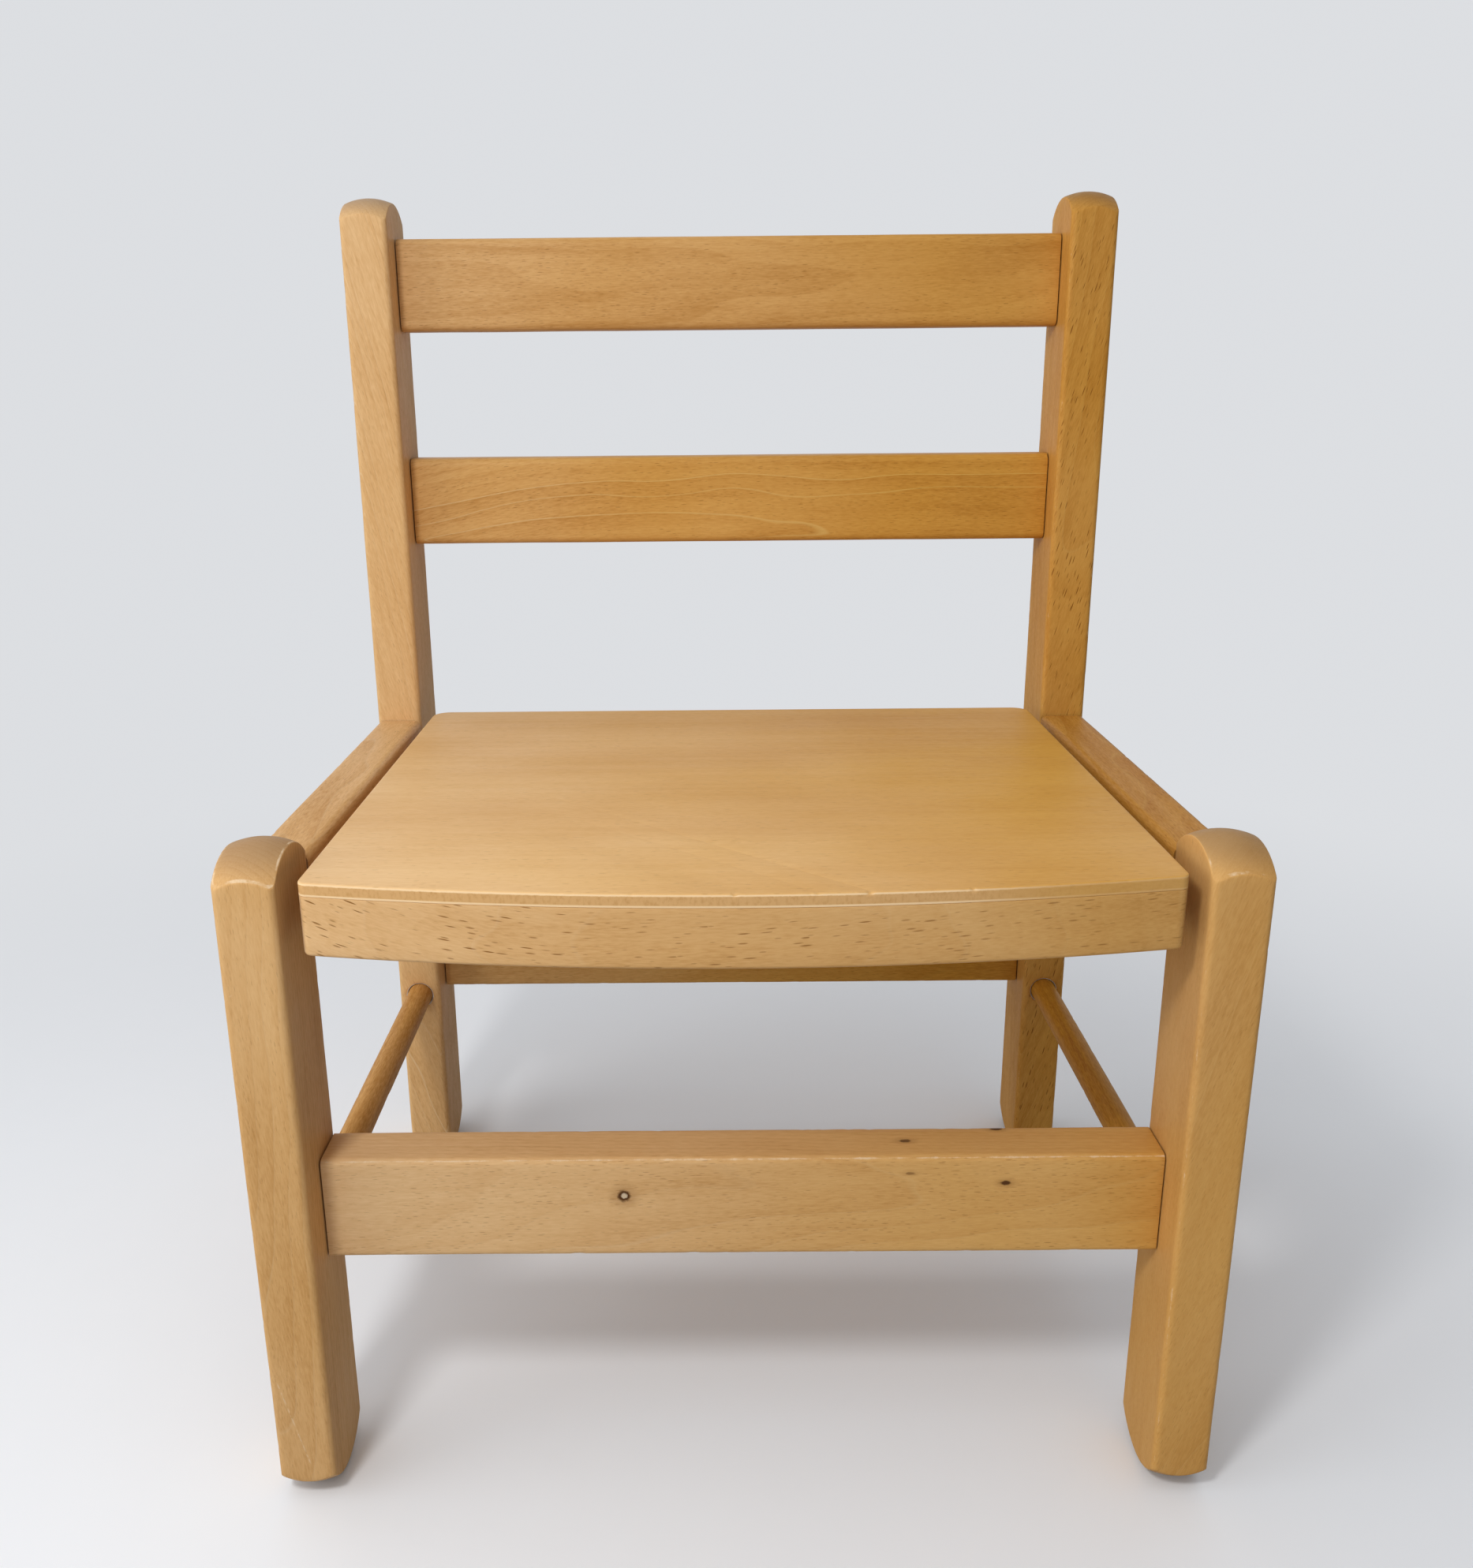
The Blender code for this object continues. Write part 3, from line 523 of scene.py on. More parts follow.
class BeechMaterial:
    """One piece's own cut from the log.

    The pith's place across the piece is in millimetres. The tilt and the bend say how the grain runs out
    of it, and the shift how far along the log it was cut. The fleck slope says how the flecks change across
    the chair. The slope of the amber tint and its depth are painted shade: they make the wood darker and
    more orange towards the chair's right side and towards its back.
    """

    def __init__(self, name, beech, node, grain, pith=(90.0, 10.0), tilt=(0.0, 0.0), shift=0.0, bend=0.0,
                 fleck_slope=0.0, amber=0.5, amber_slope=0.48, painted_shade_depth=0.0, clouds=0.6, wear=0.8,
                 crease=0.8, **figure):
        self.beech = beech
        self.material, self.sheet, self.shader = blank_material(name)
        sheet = self.sheet
        self.place = sheet.object_place()
        self.spot = sheet.split(self.place)
        low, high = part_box(node)
        across, level, along = (self.spot[i] - (low[i] + high[i]) / 2 for i in grain)
        past = sheet.math("MINIMUM", along + BEND_START, 0.0)
        log = sheet.node("ShaderNodeMapping", {
            "Vector": sheet.join(across, level + past * past * bend, along),
            "Location": (pith[0] * MM, pith[1] * MM, shift), "Rotation": (*tilt, 0.0),
        })
        self.normal = sheet.split(sheet.node("ShaderNodeNewGeometry").outputs["Normal"])
        arris, creased = (
            sheet.field("ShaderNodeAttribute", "Fac", attribute_name=mark) for mark in ("arris", "crease")
        )
        sideways = self.spot[0] / CAD_BOX[1][0]
        backward = self.spot[1] / CAD_BOX[1][1]
        cloud = sheet.swing(self.place, scale=9.0) * clouds
        figure = {
            **FIGURE, **figure,
            "place": log.outputs["Vector"], "facing": sheet.join(*(self.normal[i] for i in grain)),
            "wear": sheet.math("MAXIMUM", arris * wear, creased.ramp(0.35, 0.8) * crease),
            "end": abs(self.normal[grain[2]]).ramp(0.55, 0.98),
            # Painted shade: the amber tint grows towards the chair's right side and its back, where less
            # light falls; the clouds vary it at random.
            "amber": sideways * amber_slope + backward * painted_shade_depth + cloud + amber,
        }
        figure["flecks"] = sideways * fleck_slope + figure["flecks"]
        feeds = {socket_name(setting): value for setting, value in figure.items()}
        self.figure = sheet.node("ShaderNodeGroup", node_tree=bpy.data.node_groups["beech_figure"])
        sheet.feed(self.figure, feeds)
        self.colour = self.figure.outputs["Color"]

    def paint(self, share, colour):
        self.colour = self.sheet.blend(share, self.colour, colour)

    def add_knot(self, place, radius, stretch=1.0, dark=1.0, pale_heart=False):
        """A pin knot: dark bark drawn out along X, with a pale heart where the twig was cut through."""
        x, y, z = (axis - value * MM for axis, value in zip(self.spot, place))
        wobble = self.sheet.swing(self.place, scale=700.0) * 0.6
        far = self.sheet.distance(x / stretch, y, z) / (radius * MM) + wobble
        self.paint(far.fall(0.8, 3.0) * (0.35 * dark), self.beech.fleck)
        self.paint(far.fall(0.7, 1.2) * dark, self.beech.knot)
        if pale_heart:
            self.paint(far.fall(0.3, 0.55) * 0.7, self.beech.worn)

    def add_scratch(self, start, stop, width, depth):
        """A broken pale scratch on a front face, between two places given in X and Z."""
        run = Vector(stop) - Vector(start)
        ahead = run.normalized()
        x = self.spot[0] - start[0] * MM
        z = self.spot[2] - start[1] * MM
        along = x * ahead[0] + z * ahead[1]
        aside = abs(x * ahead[1] - z * ahead[0])
        share = aside.fall(0.2 * width * MM, width * MM) * along.ramp(0.0, SCRATCH_TAPER)
        share = share * along.fall(run.length * MM - SCRATCH_TAPER, run.length * MM)
        broken = self.sheet.swing(self.place, scale=420.0).ramp(-0.12, 0.12)
        self.paint(share * broken * self.normal[1].ramp(-0.6, -0.9) * depth, self.beech.worn)

    def finish(self, bump_strength=0.3, sheen=0.08):
        """Lays the lacquer on and hands the material over."""
        bump = self.sheet.node("ShaderNodeBump", {
            "Strength": bump_strength, "Distance": BUMP_DISTANCE, "Height": self.figure.outputs["Height"],
        })
        self.sheet.feed(self.shader, {
            "Base Color": self.colour, "Roughness": self.figure.outputs["Roughness"],
            "Normal": bump.outputs["Normal"], "Specular IOR Level": sheen,
        })
        return self.material


# Bars and legs as one geometry tree
def corner(sheet, place, half, radius, flat_share):
    """One axis of a rounded section: how far a grid line is drawn in, and how far it turns."""
    size = abs(place)
    side = sheet.math("SIGN", place)
    turned = sheet.math("MAXIMUM", (size - flat_share) / (1.0 - flat_share), 0.0)
    straight = sheet.math("MINIMUM", size / flat_share, 1.0)
    lean = sheet.math("TANGENT", turned * (math.pi / 4))
    return side * straight * (half - radius), side * lean, turned


def bar_tree():
    """An upright bar or leg: a gridded cube drawn to size, rounded along its edges and domed at its ends."""
    floats = ("Arris", "End Edge", "Dome", "Domed", "Waviness", "Dents", "Seed")
    counts = ("Lines X", "Lines Y", "Lines Z", "Corner Lines")
    sheet, given, result = group_tree(
        "turned_bar", "GeometryNodeTree",
        {"Size": "Vector", "Finish": "Material", **dict.fromkeys(floats, "Float"),
         **dict.fromkeys(counts, "Int")},
        {"Bar": "Geometry"},
    )
    cube = sheet.node("GeometryNodeMeshCube", {"Size": (2.0, 2.0, 2.0)})
    sheet.feed(cube, {f"Vertices {axis}": given[f"Lines {axis}"] for axis in "XYZ"})
    place = sheet.split(sheet.field("GeometryNodeInputPosition", "Position"))
    half = [size * 0.5 for size in sheet.split(given["Size"])]
    flats = [1.0 - 2.0 * given["Corner Lines"] / (given[f"Lines {axis}"] - 1.0) for axis in "XYZ"]

    share = sheet.math("MAXIMUM", abs(place[0]), abs(place[1]))
    rims = [corner(sheet, place[i] / share, half[i], given["Arris"], flats[i]) for i in (0, 1)]
    out = sheet.vector_math("NORMALIZE", "Vector", sheet.join(rims[0][1], rims[1][1], 0.0))
    out_x, out_y, _ = sheet.split(out)

    height = abs(place[2])
    turned = sheet.math("MAXIMUM", (height - flats[2]) / (1.0 - flats[2]), 0.0)
    angle = turned * (math.pi / 2)
    inset = (1.0 - sheet.math("COSINE", angle)) * given["End Edge"]
    rise = sheet.math("SINE", angle) * given["End Edge"]
    straight = sheet.math("MINIMUM", height / flats[2], 1.0) * (half[2] - given["End Edge"])
    x = (rims[0][0] + out_x * (given["Arris"] - inset)) * share
    y = (rims[1][0] + out_y * (given["Arris"] - inset)) * share
    drop = given["Dome"] - sheet.math("SQRT", given["Dome"] * given["Dome"] - x * x - y * y)
    z = sheet.math("SIGN", place[2]) * (straight + rise)
    z = z * (1.0 - drop * given["Domed"] / half[2])

    rim = share.ramp(0.86, 1.0)
    shape = cube.outputs["Mesh"]
    for name, value in {"arris": rims[0][2] * rims[1][2] * rim, "crease": turned * rim}.items():
        marks = {"Geometry": shape, "Name": name, "Value": value}
        marked = sheet.node("GeometryNodeStoreNamedAttribute", marks, data_type="FLOAT", domain="POINT")
        shape = marked.outputs["Geometry"]
    shape = sheet.chain("GeometryNodeSetPosition", shape, Position=sheet.join(x, y, z))

    offset = sheet.join(given["Seed"], given["Seed"], given["Seed"])
    spot = sheet.field("GeometryNodeInputPosition", "Position")
    moved = sheet.vector_math("ADD", "Vector", spot, offset)
    edge = sheet.field("GeometryNodeInputNamedAttribute", "Attribute", {"Name": "arris"}, data_type="FLOAT")
    dent = sheet.noise(moved, scale=150.0, detail=1.0).ramp(0.58, 0.74)
    push = (sheet.swing(moved, scale=28.0, detail=1.0) * 2.0 - 1.0) * given["Waviness"]
    push = push - dent * edge * given["Dents"]
    feeds = {0: sheet.field("GeometryNodeInputNormal", "Normal"), "Scale": push}
    pushed = sheet.field("ShaderNodeVectorMath", "Vector", feeds, operation="SCALE")
    shape = sheet.chain("GeometryNodeSetPosition", shape, Offset=pushed)
    shape = sheet.chain("GeometryNodeSetShadeSmooth", shape)
    shape = sheet.chain("GeometryNodeRealizeInstances", shape)
    sheet.feed(result, {"Bar": sheet.chain("GeometryNodeSetMaterial", shape, Material=given["Finish"])})


def add_object(name, data):
    thing = bpy.data.objects.new(name, data)
    bpy.context.scene.collection.objects.link(thing)
    return thing


def settle(piece):
    """Turns a piece's modifiers into its plain mesh."""
    graph = bpy.context.evaluated_depsgraph_get()
    mesh = bpy.data.meshes.new_from_object(piece.evaluated_get(graph), depsgraph=graph)
    piece.modifiers.clear()
    old, piece.data = piece.data, mesh
    bpy.data.meshes.remove(old)
    mesh.name = piece.name
    return piece


def grow(name, group, values):
    """The plain mesh that a geometry tree makes from its named inputs."""
    piece = add_object(name, bpy.data.meshes.new(name))
    modifier = piece.modifiers.new("form", "NODES")
    modifier.node_group = bpy.data.node_groups[group]
    for item in modifier.node_group.interface.items_tree:
        if item.in_out == "INPUT":
            modifier[item.identifier] = values[item.name]
    return settle(piece)


def middle_of(box):
    return (Vector(box[0]) + Vector(box[1])) / 2


def make_bar(settings, slot, node, grain, cut, arris, seed, end_edge=None, domed=False, corner_lines=3):
    """Makes a bar, or a domed and bored leg, of its own cut of beech, in the place of its node."""
    beech = BeechMaterial(f"beech_{node}", settings.beech, node, grain, **cut)
    for place, radius, looks in KNOTS.get(node, ()):
        beech.add_knot(place, radius, **looks)
    for scratch in SCRATCHES.get(node, ()):
        beech.add_scratch(*scratch)
    woodwork = settings.woodwork
    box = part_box(node)
    size = [box[1][i] - box[0][i] for i in grain]
    values = {
        "Size": size, "Arris": arris, "End Edge": end_edge or woodwork.shoulder,
        "Dome": woodwork.dome_radius if domed else 1.0, "Domed": float(domed),
        "Waviness": woodwork.waviness, "Dents": woodwork.dent_depth, "Seed": seed,
        "Corner Lines": corner_lines, "Finish": beech.finish(),
    }
    for axis, length in zip("XYZ", size):
        step = woodwork.grid_step if axis == "Z" else woodwork.grid_step * 1.5
        values[f"Lines {axis}"] = 2 * (max(2, round(length / step / 2)) + corner_lines) + 1
    bar = grow(f"{node}_wood", "turned_bar", values)
    turn = Matrix([[float(row == grain[column]) for column in range(3)] for row in range(3)]).to_4x4()
    bar.data.transform(Matrix.Translation(middle_of(box)) @ turn)
    if domed:
        bore_leg(bar, node, woodwork)
    place_piece(bar, slot, node)


def place_piece(piece, slot, *nodes):
    """Joins a finished piece to the frame, in the place of its nodes."""
    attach(piece, "root")
    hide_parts(*nodes)


# Round sockets
def ringed_mesh(name, rings):
    """A closed mesh from rings of points, each ring with the same number of points."""
    bm = bmesh.new()
    rows = [[bm.verts.new(point) for point in ring] for ring in rings]
    count = len(rows[0])
    for lower, upper in zip(rows, rows[1:]):
        for i in range(count):
            j = (i + 1) % count
            bm.faces.new((lower[i], lower[j], upper[j], upper[i]))
    bm.faces.new(list(reversed(rows[0])))
    bm.faces.new(rows[-1])
    bmesh.ops.recalc_face_normals(bm, faces=bm.faces)
    mesh = bpy.data.meshes.new(name)
    bm.to_mesh(mesh)
    bm.free()
    return add_object(name, mesh)


def bore_leg(leg, node, woodwork):
    """Bores the socket in which a leg takes its side's round stretcher, with an eased mouth."""
    rod_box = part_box(f"side_stretcher_{node.split('_')[-1]}")
    centre = middle_of(rod_box)
    radius = (rod_box[1][0] - rod_box[0][0]) / 2 + SOCKET_CLEARANCE
    low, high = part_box(node)
    face, inward = (high[1], -1.0) if node.startswith("front") else (low[1], 1.0)
    depth = (rod_box[1][1] - rod_box[0][1]) / 2 - abs(face - centre.y) + SOCKET_END_ROOM
    spot = Vector((centre.x, face - inward * woodwork.waviness, centre.z))
    mouth = woodwork.socket_mouth
    profile = ((-mouth, radius + 2 * mouth), (0.0, radius + mouth), (mouth, radius), (depth, radius))
    turns = [math.tau * step / SOCKET_SIDES for step in range(SOCKET_SIDES)]
    rings = []
    for reach, size in profile:
        y = spot.y + inward * reach
        rings.append([(spot.x + size * math.cos(a), y, spot.z + size * math.sin(a)) for a in turns])
    cutter = ringed_mesh("socket_cutter", rings)
    cutter.data.materials.append(leg.data.materials[0])
    cut = leg.modifiers.new("socket", "BOOLEAN")
    cut.solver = "EXACT"
    cut.object = cutter
    settle(leg)
    bpy.data.meshes.remove(cutter.data)
    leg.data.set_sharp_from_angle(angle=SOCKET_SHARP_ANGLE)


# Seat
def arc(centre, radius, start, stop, steps):
    angles = [start + (stop - start) * step / steps for step in range(steps + 1)]
    return [(centre[0] + radius * math.cos(a), centre[1] + radius * math.sin(a)) for a in angles]


def straight_run(start, stop, spacing):
    """Points between two corners, without the corners."""
    steps = max(1, round(math.dist(start, stop) / spacing))
    return [
        (start[0] + (stop[0] - start[0]) * step / steps, start[1] + (stop[1] - start[1]) * step / steps)
        for step in range(1, steps)
    ]


def bowed_outline(box, seat, back_corner, spacing):
    """A bowed front, straight sides and rounded corners, anticlockwise from above, all finely divided."""
    low, high = box
    half = high[0]
    radius = (half ** 2 + seat.bow ** 2) / (2 * seat.bow)
    centre = (0.0, low[1] + radius)
    reach = math.asin((half - seat.front_corner) / radius)
    quarter = math.pi / 2
    points = arc(centre, radius, -quarter - reach, -quarter + reach, round(2 * half / spacing))
    front_y = points[-1][1] + seat.front_corner
    inner = half - seat.front_corner
    points += arc((inner, front_y), seat.front_corner, -quarter, 0.0, 6)[1:]
    back = half - back_corner
    back_y = high[1] - back_corner
    points += straight_run((half, front_y), (half, back_y), 4 * spacing)
    points += arc((back, back_y), back_corner, 0.0, quarter, 8)
    points += straight_run((back, high[1]), (-back, high[1]), 4 * spacing)
    points += arc((-back, back_y), back_corner, quarter, 2 * quarter, 8)
    points += straight_run((-half, back_y), (-half, front_y), 4 * spacing)
    points += arc((-inner, front_y), seat.front_corner, 2 * quarter, 3 * quarter, 6)[:-1]
    return points


def inset_ring(points, inset, height):
    """A ring of points drawn in from an outline by its own inward normals."""
    ring = []
    for index, (x, y) in enumerate(points):
        before = points[index - 1]
        after = points[(index + 1) % len(points)]
        along = Vector((after[0] - before[0], after[1] - before[1])).normalized()
        ring.append(Vector((x - along.y * inset, y + along.x * inset, height)))
    return ring


def rounded_profile(low, high, lower_radius, upper_radius, levels):
    """Inset and height pairs up the side of a slab, rounded below and above."""
    quarter = [math.pi / 2 * step / 4 for step in range(5)]
    pairs = [(lower_radius * (1 - math.sin(a)), low + lower_radius * (1 - math.cos(a))) for a in quarter]
    pairs += [(0.0, low + (high - low) * share) for share in levels]
    pairs += [(upper_radius * (1 - math.cos(a)), high - upper_radius * (1 - math.sin(a))) for a in quarter]
    pairs.append((upper_radius + FLAT_RIM, high))
    return pairs


def slab_piece(name, outline, profile, finish):
    piece = ringed_mesh(name, [inset_ring(outline, inset, height) for inset, height in profile])
    piece.data.materials.append(finish)
    piece.data.shade_smooth()
    piece.data.set_sharp_from_angle(angle=SLAB_SHARP_ANGLE)
    return piece


def front_line(seat):
    """How far back the bowed front edge and its corners reach."""
    return SEAT_BOX[0][1] + seat.bow + seat.front_corner


def chip_edge(top, seat):
    """Small chips along the front's upper arris, deeper here and there."""
    for point in top.data.vertices:
        co = point.co
        below = SEAT_BOX[1][2] - co.z
        if co.y < front_line(seat) and below < CHIP_BAND:
            rough = noise.noise(Vector((co.x / CHIP_GRAIN[0], 3.7, co.z / CHIP_GRAIN[1])))
            rare = noise.noise(Vector((co.x / CHIP_CLUSTER, 8.1, 0.0)))
            chip = max(0.0, rough - 0.1) * (0.08 + 3.2 * max(0.0, rare - 0.12))
            bite = min(1.0, chip * 1.8) * seat.chip_depth
            share = 1.0 - below / CHIP_BAND
            co.y += bite * (0.4 + 0.6 * share)
            co.z -= bite * share * 0.7


def mark_arris(top, profile, ring_size):
    """Stores how worn each ring of points is: fully at the upper edge, and not on the flat."""
    wear = [max(0.0, 1.0 - (SEAT_BOX[1][2] - height) / WORN_BAND) for _, height in profile]
    wear[-1] = 0.0
    marks = top.data.attributes.new("arris", "FLOAT", "POINT")
    for index, mark in enumerate(marks.data):
        mark.value = wear[index // ring_size]


def plywood_material(settings):
    """Face veneer with its grain along X, and the three sheets seen in the edge."""
    seat = settings.seat
    # Painted shade: the amber tint darkens the seat towards its right side and its back.
    beech = BeechMaterial(
        "seat_plywood", settings.beech, "seat_top", ALONG_X, pith=(15.0, 140.0), tilt=(0.01, 0.01),
        shift=18.0, flecks=0.22, rings=0.3, pale_lines=0.0, contrast=0.5, amber=0.62, amber_slope=0.5,
        painted_shade_depth=0.2, clouds=0.9, warmth=-0.24,
    )
    sheet = beech.sheet
    x, y, z = beech.spot
    low, high = SEAT_BOX
    thick = high[2] - low[2]
    level = z - low[2]
    ragged = sheet.swing(sheet.drawn_out(beech.spot, CORE_RAGS), detail=4.0, roughness=0.6)
    level = level + ragged * level.ramp(0.3 * thick, 0.7 * thick) * CORE_RAGGEDNESS
    lower, upper = seat.face_veneer, thick - seat.face_veneer
    core = level.ramp(lower - VENEER_BLUR, lower + VENEER_BLUR)
    core = core * level.fall(upper - VENEER_BLUR, upper + VENEER_BLUR)
    side = abs(beech.normal[2]).fall(0.35, 0.8)
    front = y.fall(front_line(seat), front_line(seat) + seat.front_corner)
    fade = 1.0 - x.ramp(*EDGE_FADE) * 0.75
    speck = sheet.swing(sheet.drawn_out(beech.spot, CORE_SPECKS))
    core_colour = sheet.blend(speck.ramp(-0.1, 0.3) * 0.4, seat.core, settings.beech.deep)
    beech.paint(side * fade * (front * 0.5 + 0.5), sheet.blend(core, seat.edge, core_colour))
    return beech.finish(bump_strength=0.22, sheen=0.13)


# Fixings
def screw_tree():
    """Countersunk screws with a cross recess, one at each corner of a rectangle, heads down."""
    labels = ("Spread X", "Spread Y", "Head", "Shank", "Length", "Tip", "Recess")
    sheet, given, result = group_tree(
        "seat_screws", "GeometryNodeTree", {**dict.fromkeys(labels, "Float"), "Finish": "Material"},
        {"Screws": "Geometry"},
    )
    head, shank, length, tip = (given[label] for label in ("Head", "Shank", "Length", "Tip"))
    sink = (head - shank) * 0.5
    spans = (
        (head * 0.5, shank * 0.5, sink, 0.0),
        (shank * 0.5, shank * 0.5, length - tip - sink, sink),
        (shank * 0.5, 0.0, tip, length - tip),
    )
    parts = []
    for bottom, top, depth, height in spans:
        cone = sheet.node("GeometryNodeMeshCone", {
            "Vertices": SCREW_SIDES, "Radius Top": top, "Radius Bottom": bottom, "Depth": depth,
        })
        lift = sheet.join(0.0, 0.0, height)
        parts.append(sheet.chain("GeometryNodeTransform", cone.outputs["Mesh"], Translation=lift))
    head_part = sheet.node(
        "GeometryNodeMeshBoolean", {"Mesh 1": parts[0]}, operation="DIFFERENCE", solver="EXACT",
    )
    wide, narrow = given["Recess"], given["Recess"] * 0.22
    for size in ((wide, narrow), (narrow, wide)):
        blade = sheet.field("GeometryNodeMeshCube", "Mesh", {"Size": sheet.join(*size, sink * 1.5)})
        sheet.feed(head_part, {"Mesh 2": blade})
    whole = sheet.node("GeometryNodeJoinGeometry")
    for part in (head_part.outputs["Mesh"], parts[1], parts[2]):
        sheet.feed(whole, {"Geometry": part})
    grid = sheet.node("GeometryNodeMeshGrid")
    for axis in "XY":
        sheet.feed(grid, {f"Vertices {axis}": 2, f"Size {axis}": given[f"Spread {axis}"]})
    screw = whole.outputs["Geometry"]
    shape = sheet.chain("GeometryNodeInstanceOnPoints", grid.outputs["Mesh"], Instance=screw)
    shape = sheet.chain("GeometryNodeRealizeInstances", shape)
    sheet.feed(result, {"Screws": sheet.chain("GeometryNodeSetMaterial", shape, Material=given["Finish"])})


def zinc_material():
    """Zinc plate with a faint cloudy bloom."""
    material, sheet, shader = blank_material("zinc_screw")
    cloud = sheet.noise(sheet.object_place(), scale=900.0, detail=3.0)
    colour = sheet.blend(cloud.ramp(0.3, 0.7), ZINC_LIGHT, ZINC_DARK)
    sheet.feed(shader, {"Base Color": colour, "Roughness": cloud * 0.25 + 0.25, "Metallic": 1.0})
    return material


# Stage
def make_floor(stage):
    """A round floor that fades into the surround."""
    mesh = bpy.data.meshes.new("floor")
    bm = bmesh.new()
    bmesh.ops.create_circle(bm, cap_ends=True, segments=FLOOR_SIDES, radius=FLOOR_RADIUS)
    bm.to_mesh(mesh)
    bm.free()
    floor = add_object("floor", mesh)
    material, sheet, shader = blank_material("pale_floor")
    place = sheet.object_place()
    grain = sheet.noise(place, scale=40.0, detail=3.0)
    tone = stage.floor_tone
    dull = tuple(value * 0.985 for value in tone)
    thrown = tuple(value * stage.floor_bounce for value in tone)
    seen = sheet.field("ShaderNodeLightPath", "Is Camera Ray")
    colour = sheet.blend(seen, thrown, sheet.blend(grain, dull, tone))
    sheet.feed(shader, {"Base Color": colour, "Roughness": 0.6})
    glow = sheet.node("ShaderNodeEmission", {"Color": stage.backdrop_tone})
    x, y, _ = sheet.split(place)
    sheet.mix_shaders(sheet.distance(x, y).ramp(*FLOOR_FADE) * seen, shader, glow, "Material Output")
    mesh.materials.append(material)


def make_lamp(name, place, size, power, colour):
    """A round lamp that faces the middle of the chair."""
    light = bpy.data.lights.new(name, "AREA")
    light.shape = "DISK"
    light.size = size
    light.energy = power
    light.color = colour
    lamp = add_object(name, light)
    lamp.location = place
    lamp.rotation_euler = (middle_of(CAD_BOX) - Vector(place)).to_track_quat("-Z", "Y").to_euler()


def make_light(stage):
    """Two lamps on the left, and a room that is brighter on one side than it looks."""
    make_lamp("key", stage.key_place, stage.key_size, stage.key_power, KEY_TONE)
    make_lamp("window", stage.window_place, stage.window_size, stage.window_power, WHITE)
    world = bpy.data.worlds.new("soft_room")
    bpy.context.scene.world = world
    world.use_nodes = True
    sheet = Sheet(world.node_tree)
    ray = sheet.field("ShaderNodeTexCoord", "Generated")
    bright_side = tuple(Vector(stage.bright_side).normalized())
    facing = sheet.vector_math("DOT_PRODUCT", "Value", ray, bright_side)
    strength = sheet.math("MAXIMUM", facing + ROOM_EVENNESS, ROOM_LEAST) * stage.ambient
    ground = world.node_tree.nodes["Background"]
    sheet.feed(ground, {"Color": ROOM_TONE, "Strength": strength})
    seen = sheet.node("ShaderNodeBackground", {"Color": stage.backdrop_tone, "Strength": 1.0})
    rays = sheet.node("ShaderNodeLightPath").outputs
    sight = sheet.math("MAXIMUM", rays["Is Camera Ray"], rays["Is Glossy Ray"])
    sight = sheet.math("MAXIMUM", sight, rays["Is Transmission Ray"])
    sheet.mix_shaders(sight, ground, seen, "World Output")


def make_camera(stage):
    """The camera, turned by its yaw, then its pitch, then its roll."""
    data = bpy.data.cameras.new("camera")
    data.sensor_fit = "VERTICAL"
    data.sensor_height = SENSOR_HEIGHT
    data.lens = stage.lens
    data.shift_x = stage.shift_x
    data.shift_y = stage.shift_y
    data.clip_start = 10.0 * MM
    camera = add_object("camera", data)
    camera.matrix_world = (
        Matrix.Translation(stage.camera_place) @ Matrix.Rotation(-stage.camera_yaw, 4, "Z")
        @ Matrix.Rotation(math.pi / 2 - stage.camera_pitch, 4, "X")
        @ Matrix.Rotation(stage.camera_roll, 4, "Z")
    )
    bpy.context.scene.camera = camera


# Operators
class ChairOperator:
    """What the chair's operators share."""

    bl_options = {"REGISTER", "UNDO"}


class CHAIR_OT_trees(ChairOperator, bpy.types.Operator):
    """Make the node trees that the pieces share"""

    bl_idname = "chair.make_trees"
    bl_label = "Make the Shared Trees"

    def execute(self, context):
        beech_group(context.scene.beech_chair.beech)
        bar_tree()
        screw_tree()
        return {"FINISHED"}


class CHAIR_OT_legs(ChairOperator, bpy.types.Operator):
    """Make the front legs and the rear posts"""

    bl_idname = "chair.make_legs"
    bl_label = "Make the Legs and Posts"

    def execute(self, context):
        settings = context.scene.beech_chair
        woodwork = settings.woodwork
        # Painted shade: each leg's amber tint grows towards the chair's right side.
        cuts = {
            "front_leg_left": dict(
                pith=(25.0, 90.0), tilt=(0.06, 0.08), shift=0.3, warmth=0.02, crease=1.12, contrast=0.6,
                amber=0.68,
            ),
            "front_leg_right": dict(
                pith=(-20.0, 70.0), tilt=(0.07, -0.3), shift=1.1, crease=0.95, amber=0.15, wear=1.0,
                contrast=0.5, rings=0.3,
            ),
            "rear_post_left": dict(
                pith=(30.0, 80.0), tilt=(0.05, 0.25), shift=2.2, warmth=-0.05, pale_lines=0.5,
                contrast=0.85, amber=0.58,
            ),
            "rear_post_right": dict(
                pith=(10.0, 130.0), tilt=(0.06, -0.26), shift=3.4, warmth=0.06, wear=0.95, flecks=1.3,
                fleck_length=1.3, fleck_width=1.1, contrast=0.6,
            ),
        }
        for index, (node, cut) in enumerate(cuts.items()):
            cut = {"flecks": 0.32, "fleck_length": 0.6, **cut}
            make_bar(
                settings, "leg_beech", node, ALONG_Z, cut, woodwork.leg_arris, index + 0.5,
                end_edge=woodwork.crease, domed=True,
            )
        return {"FINISHED"}


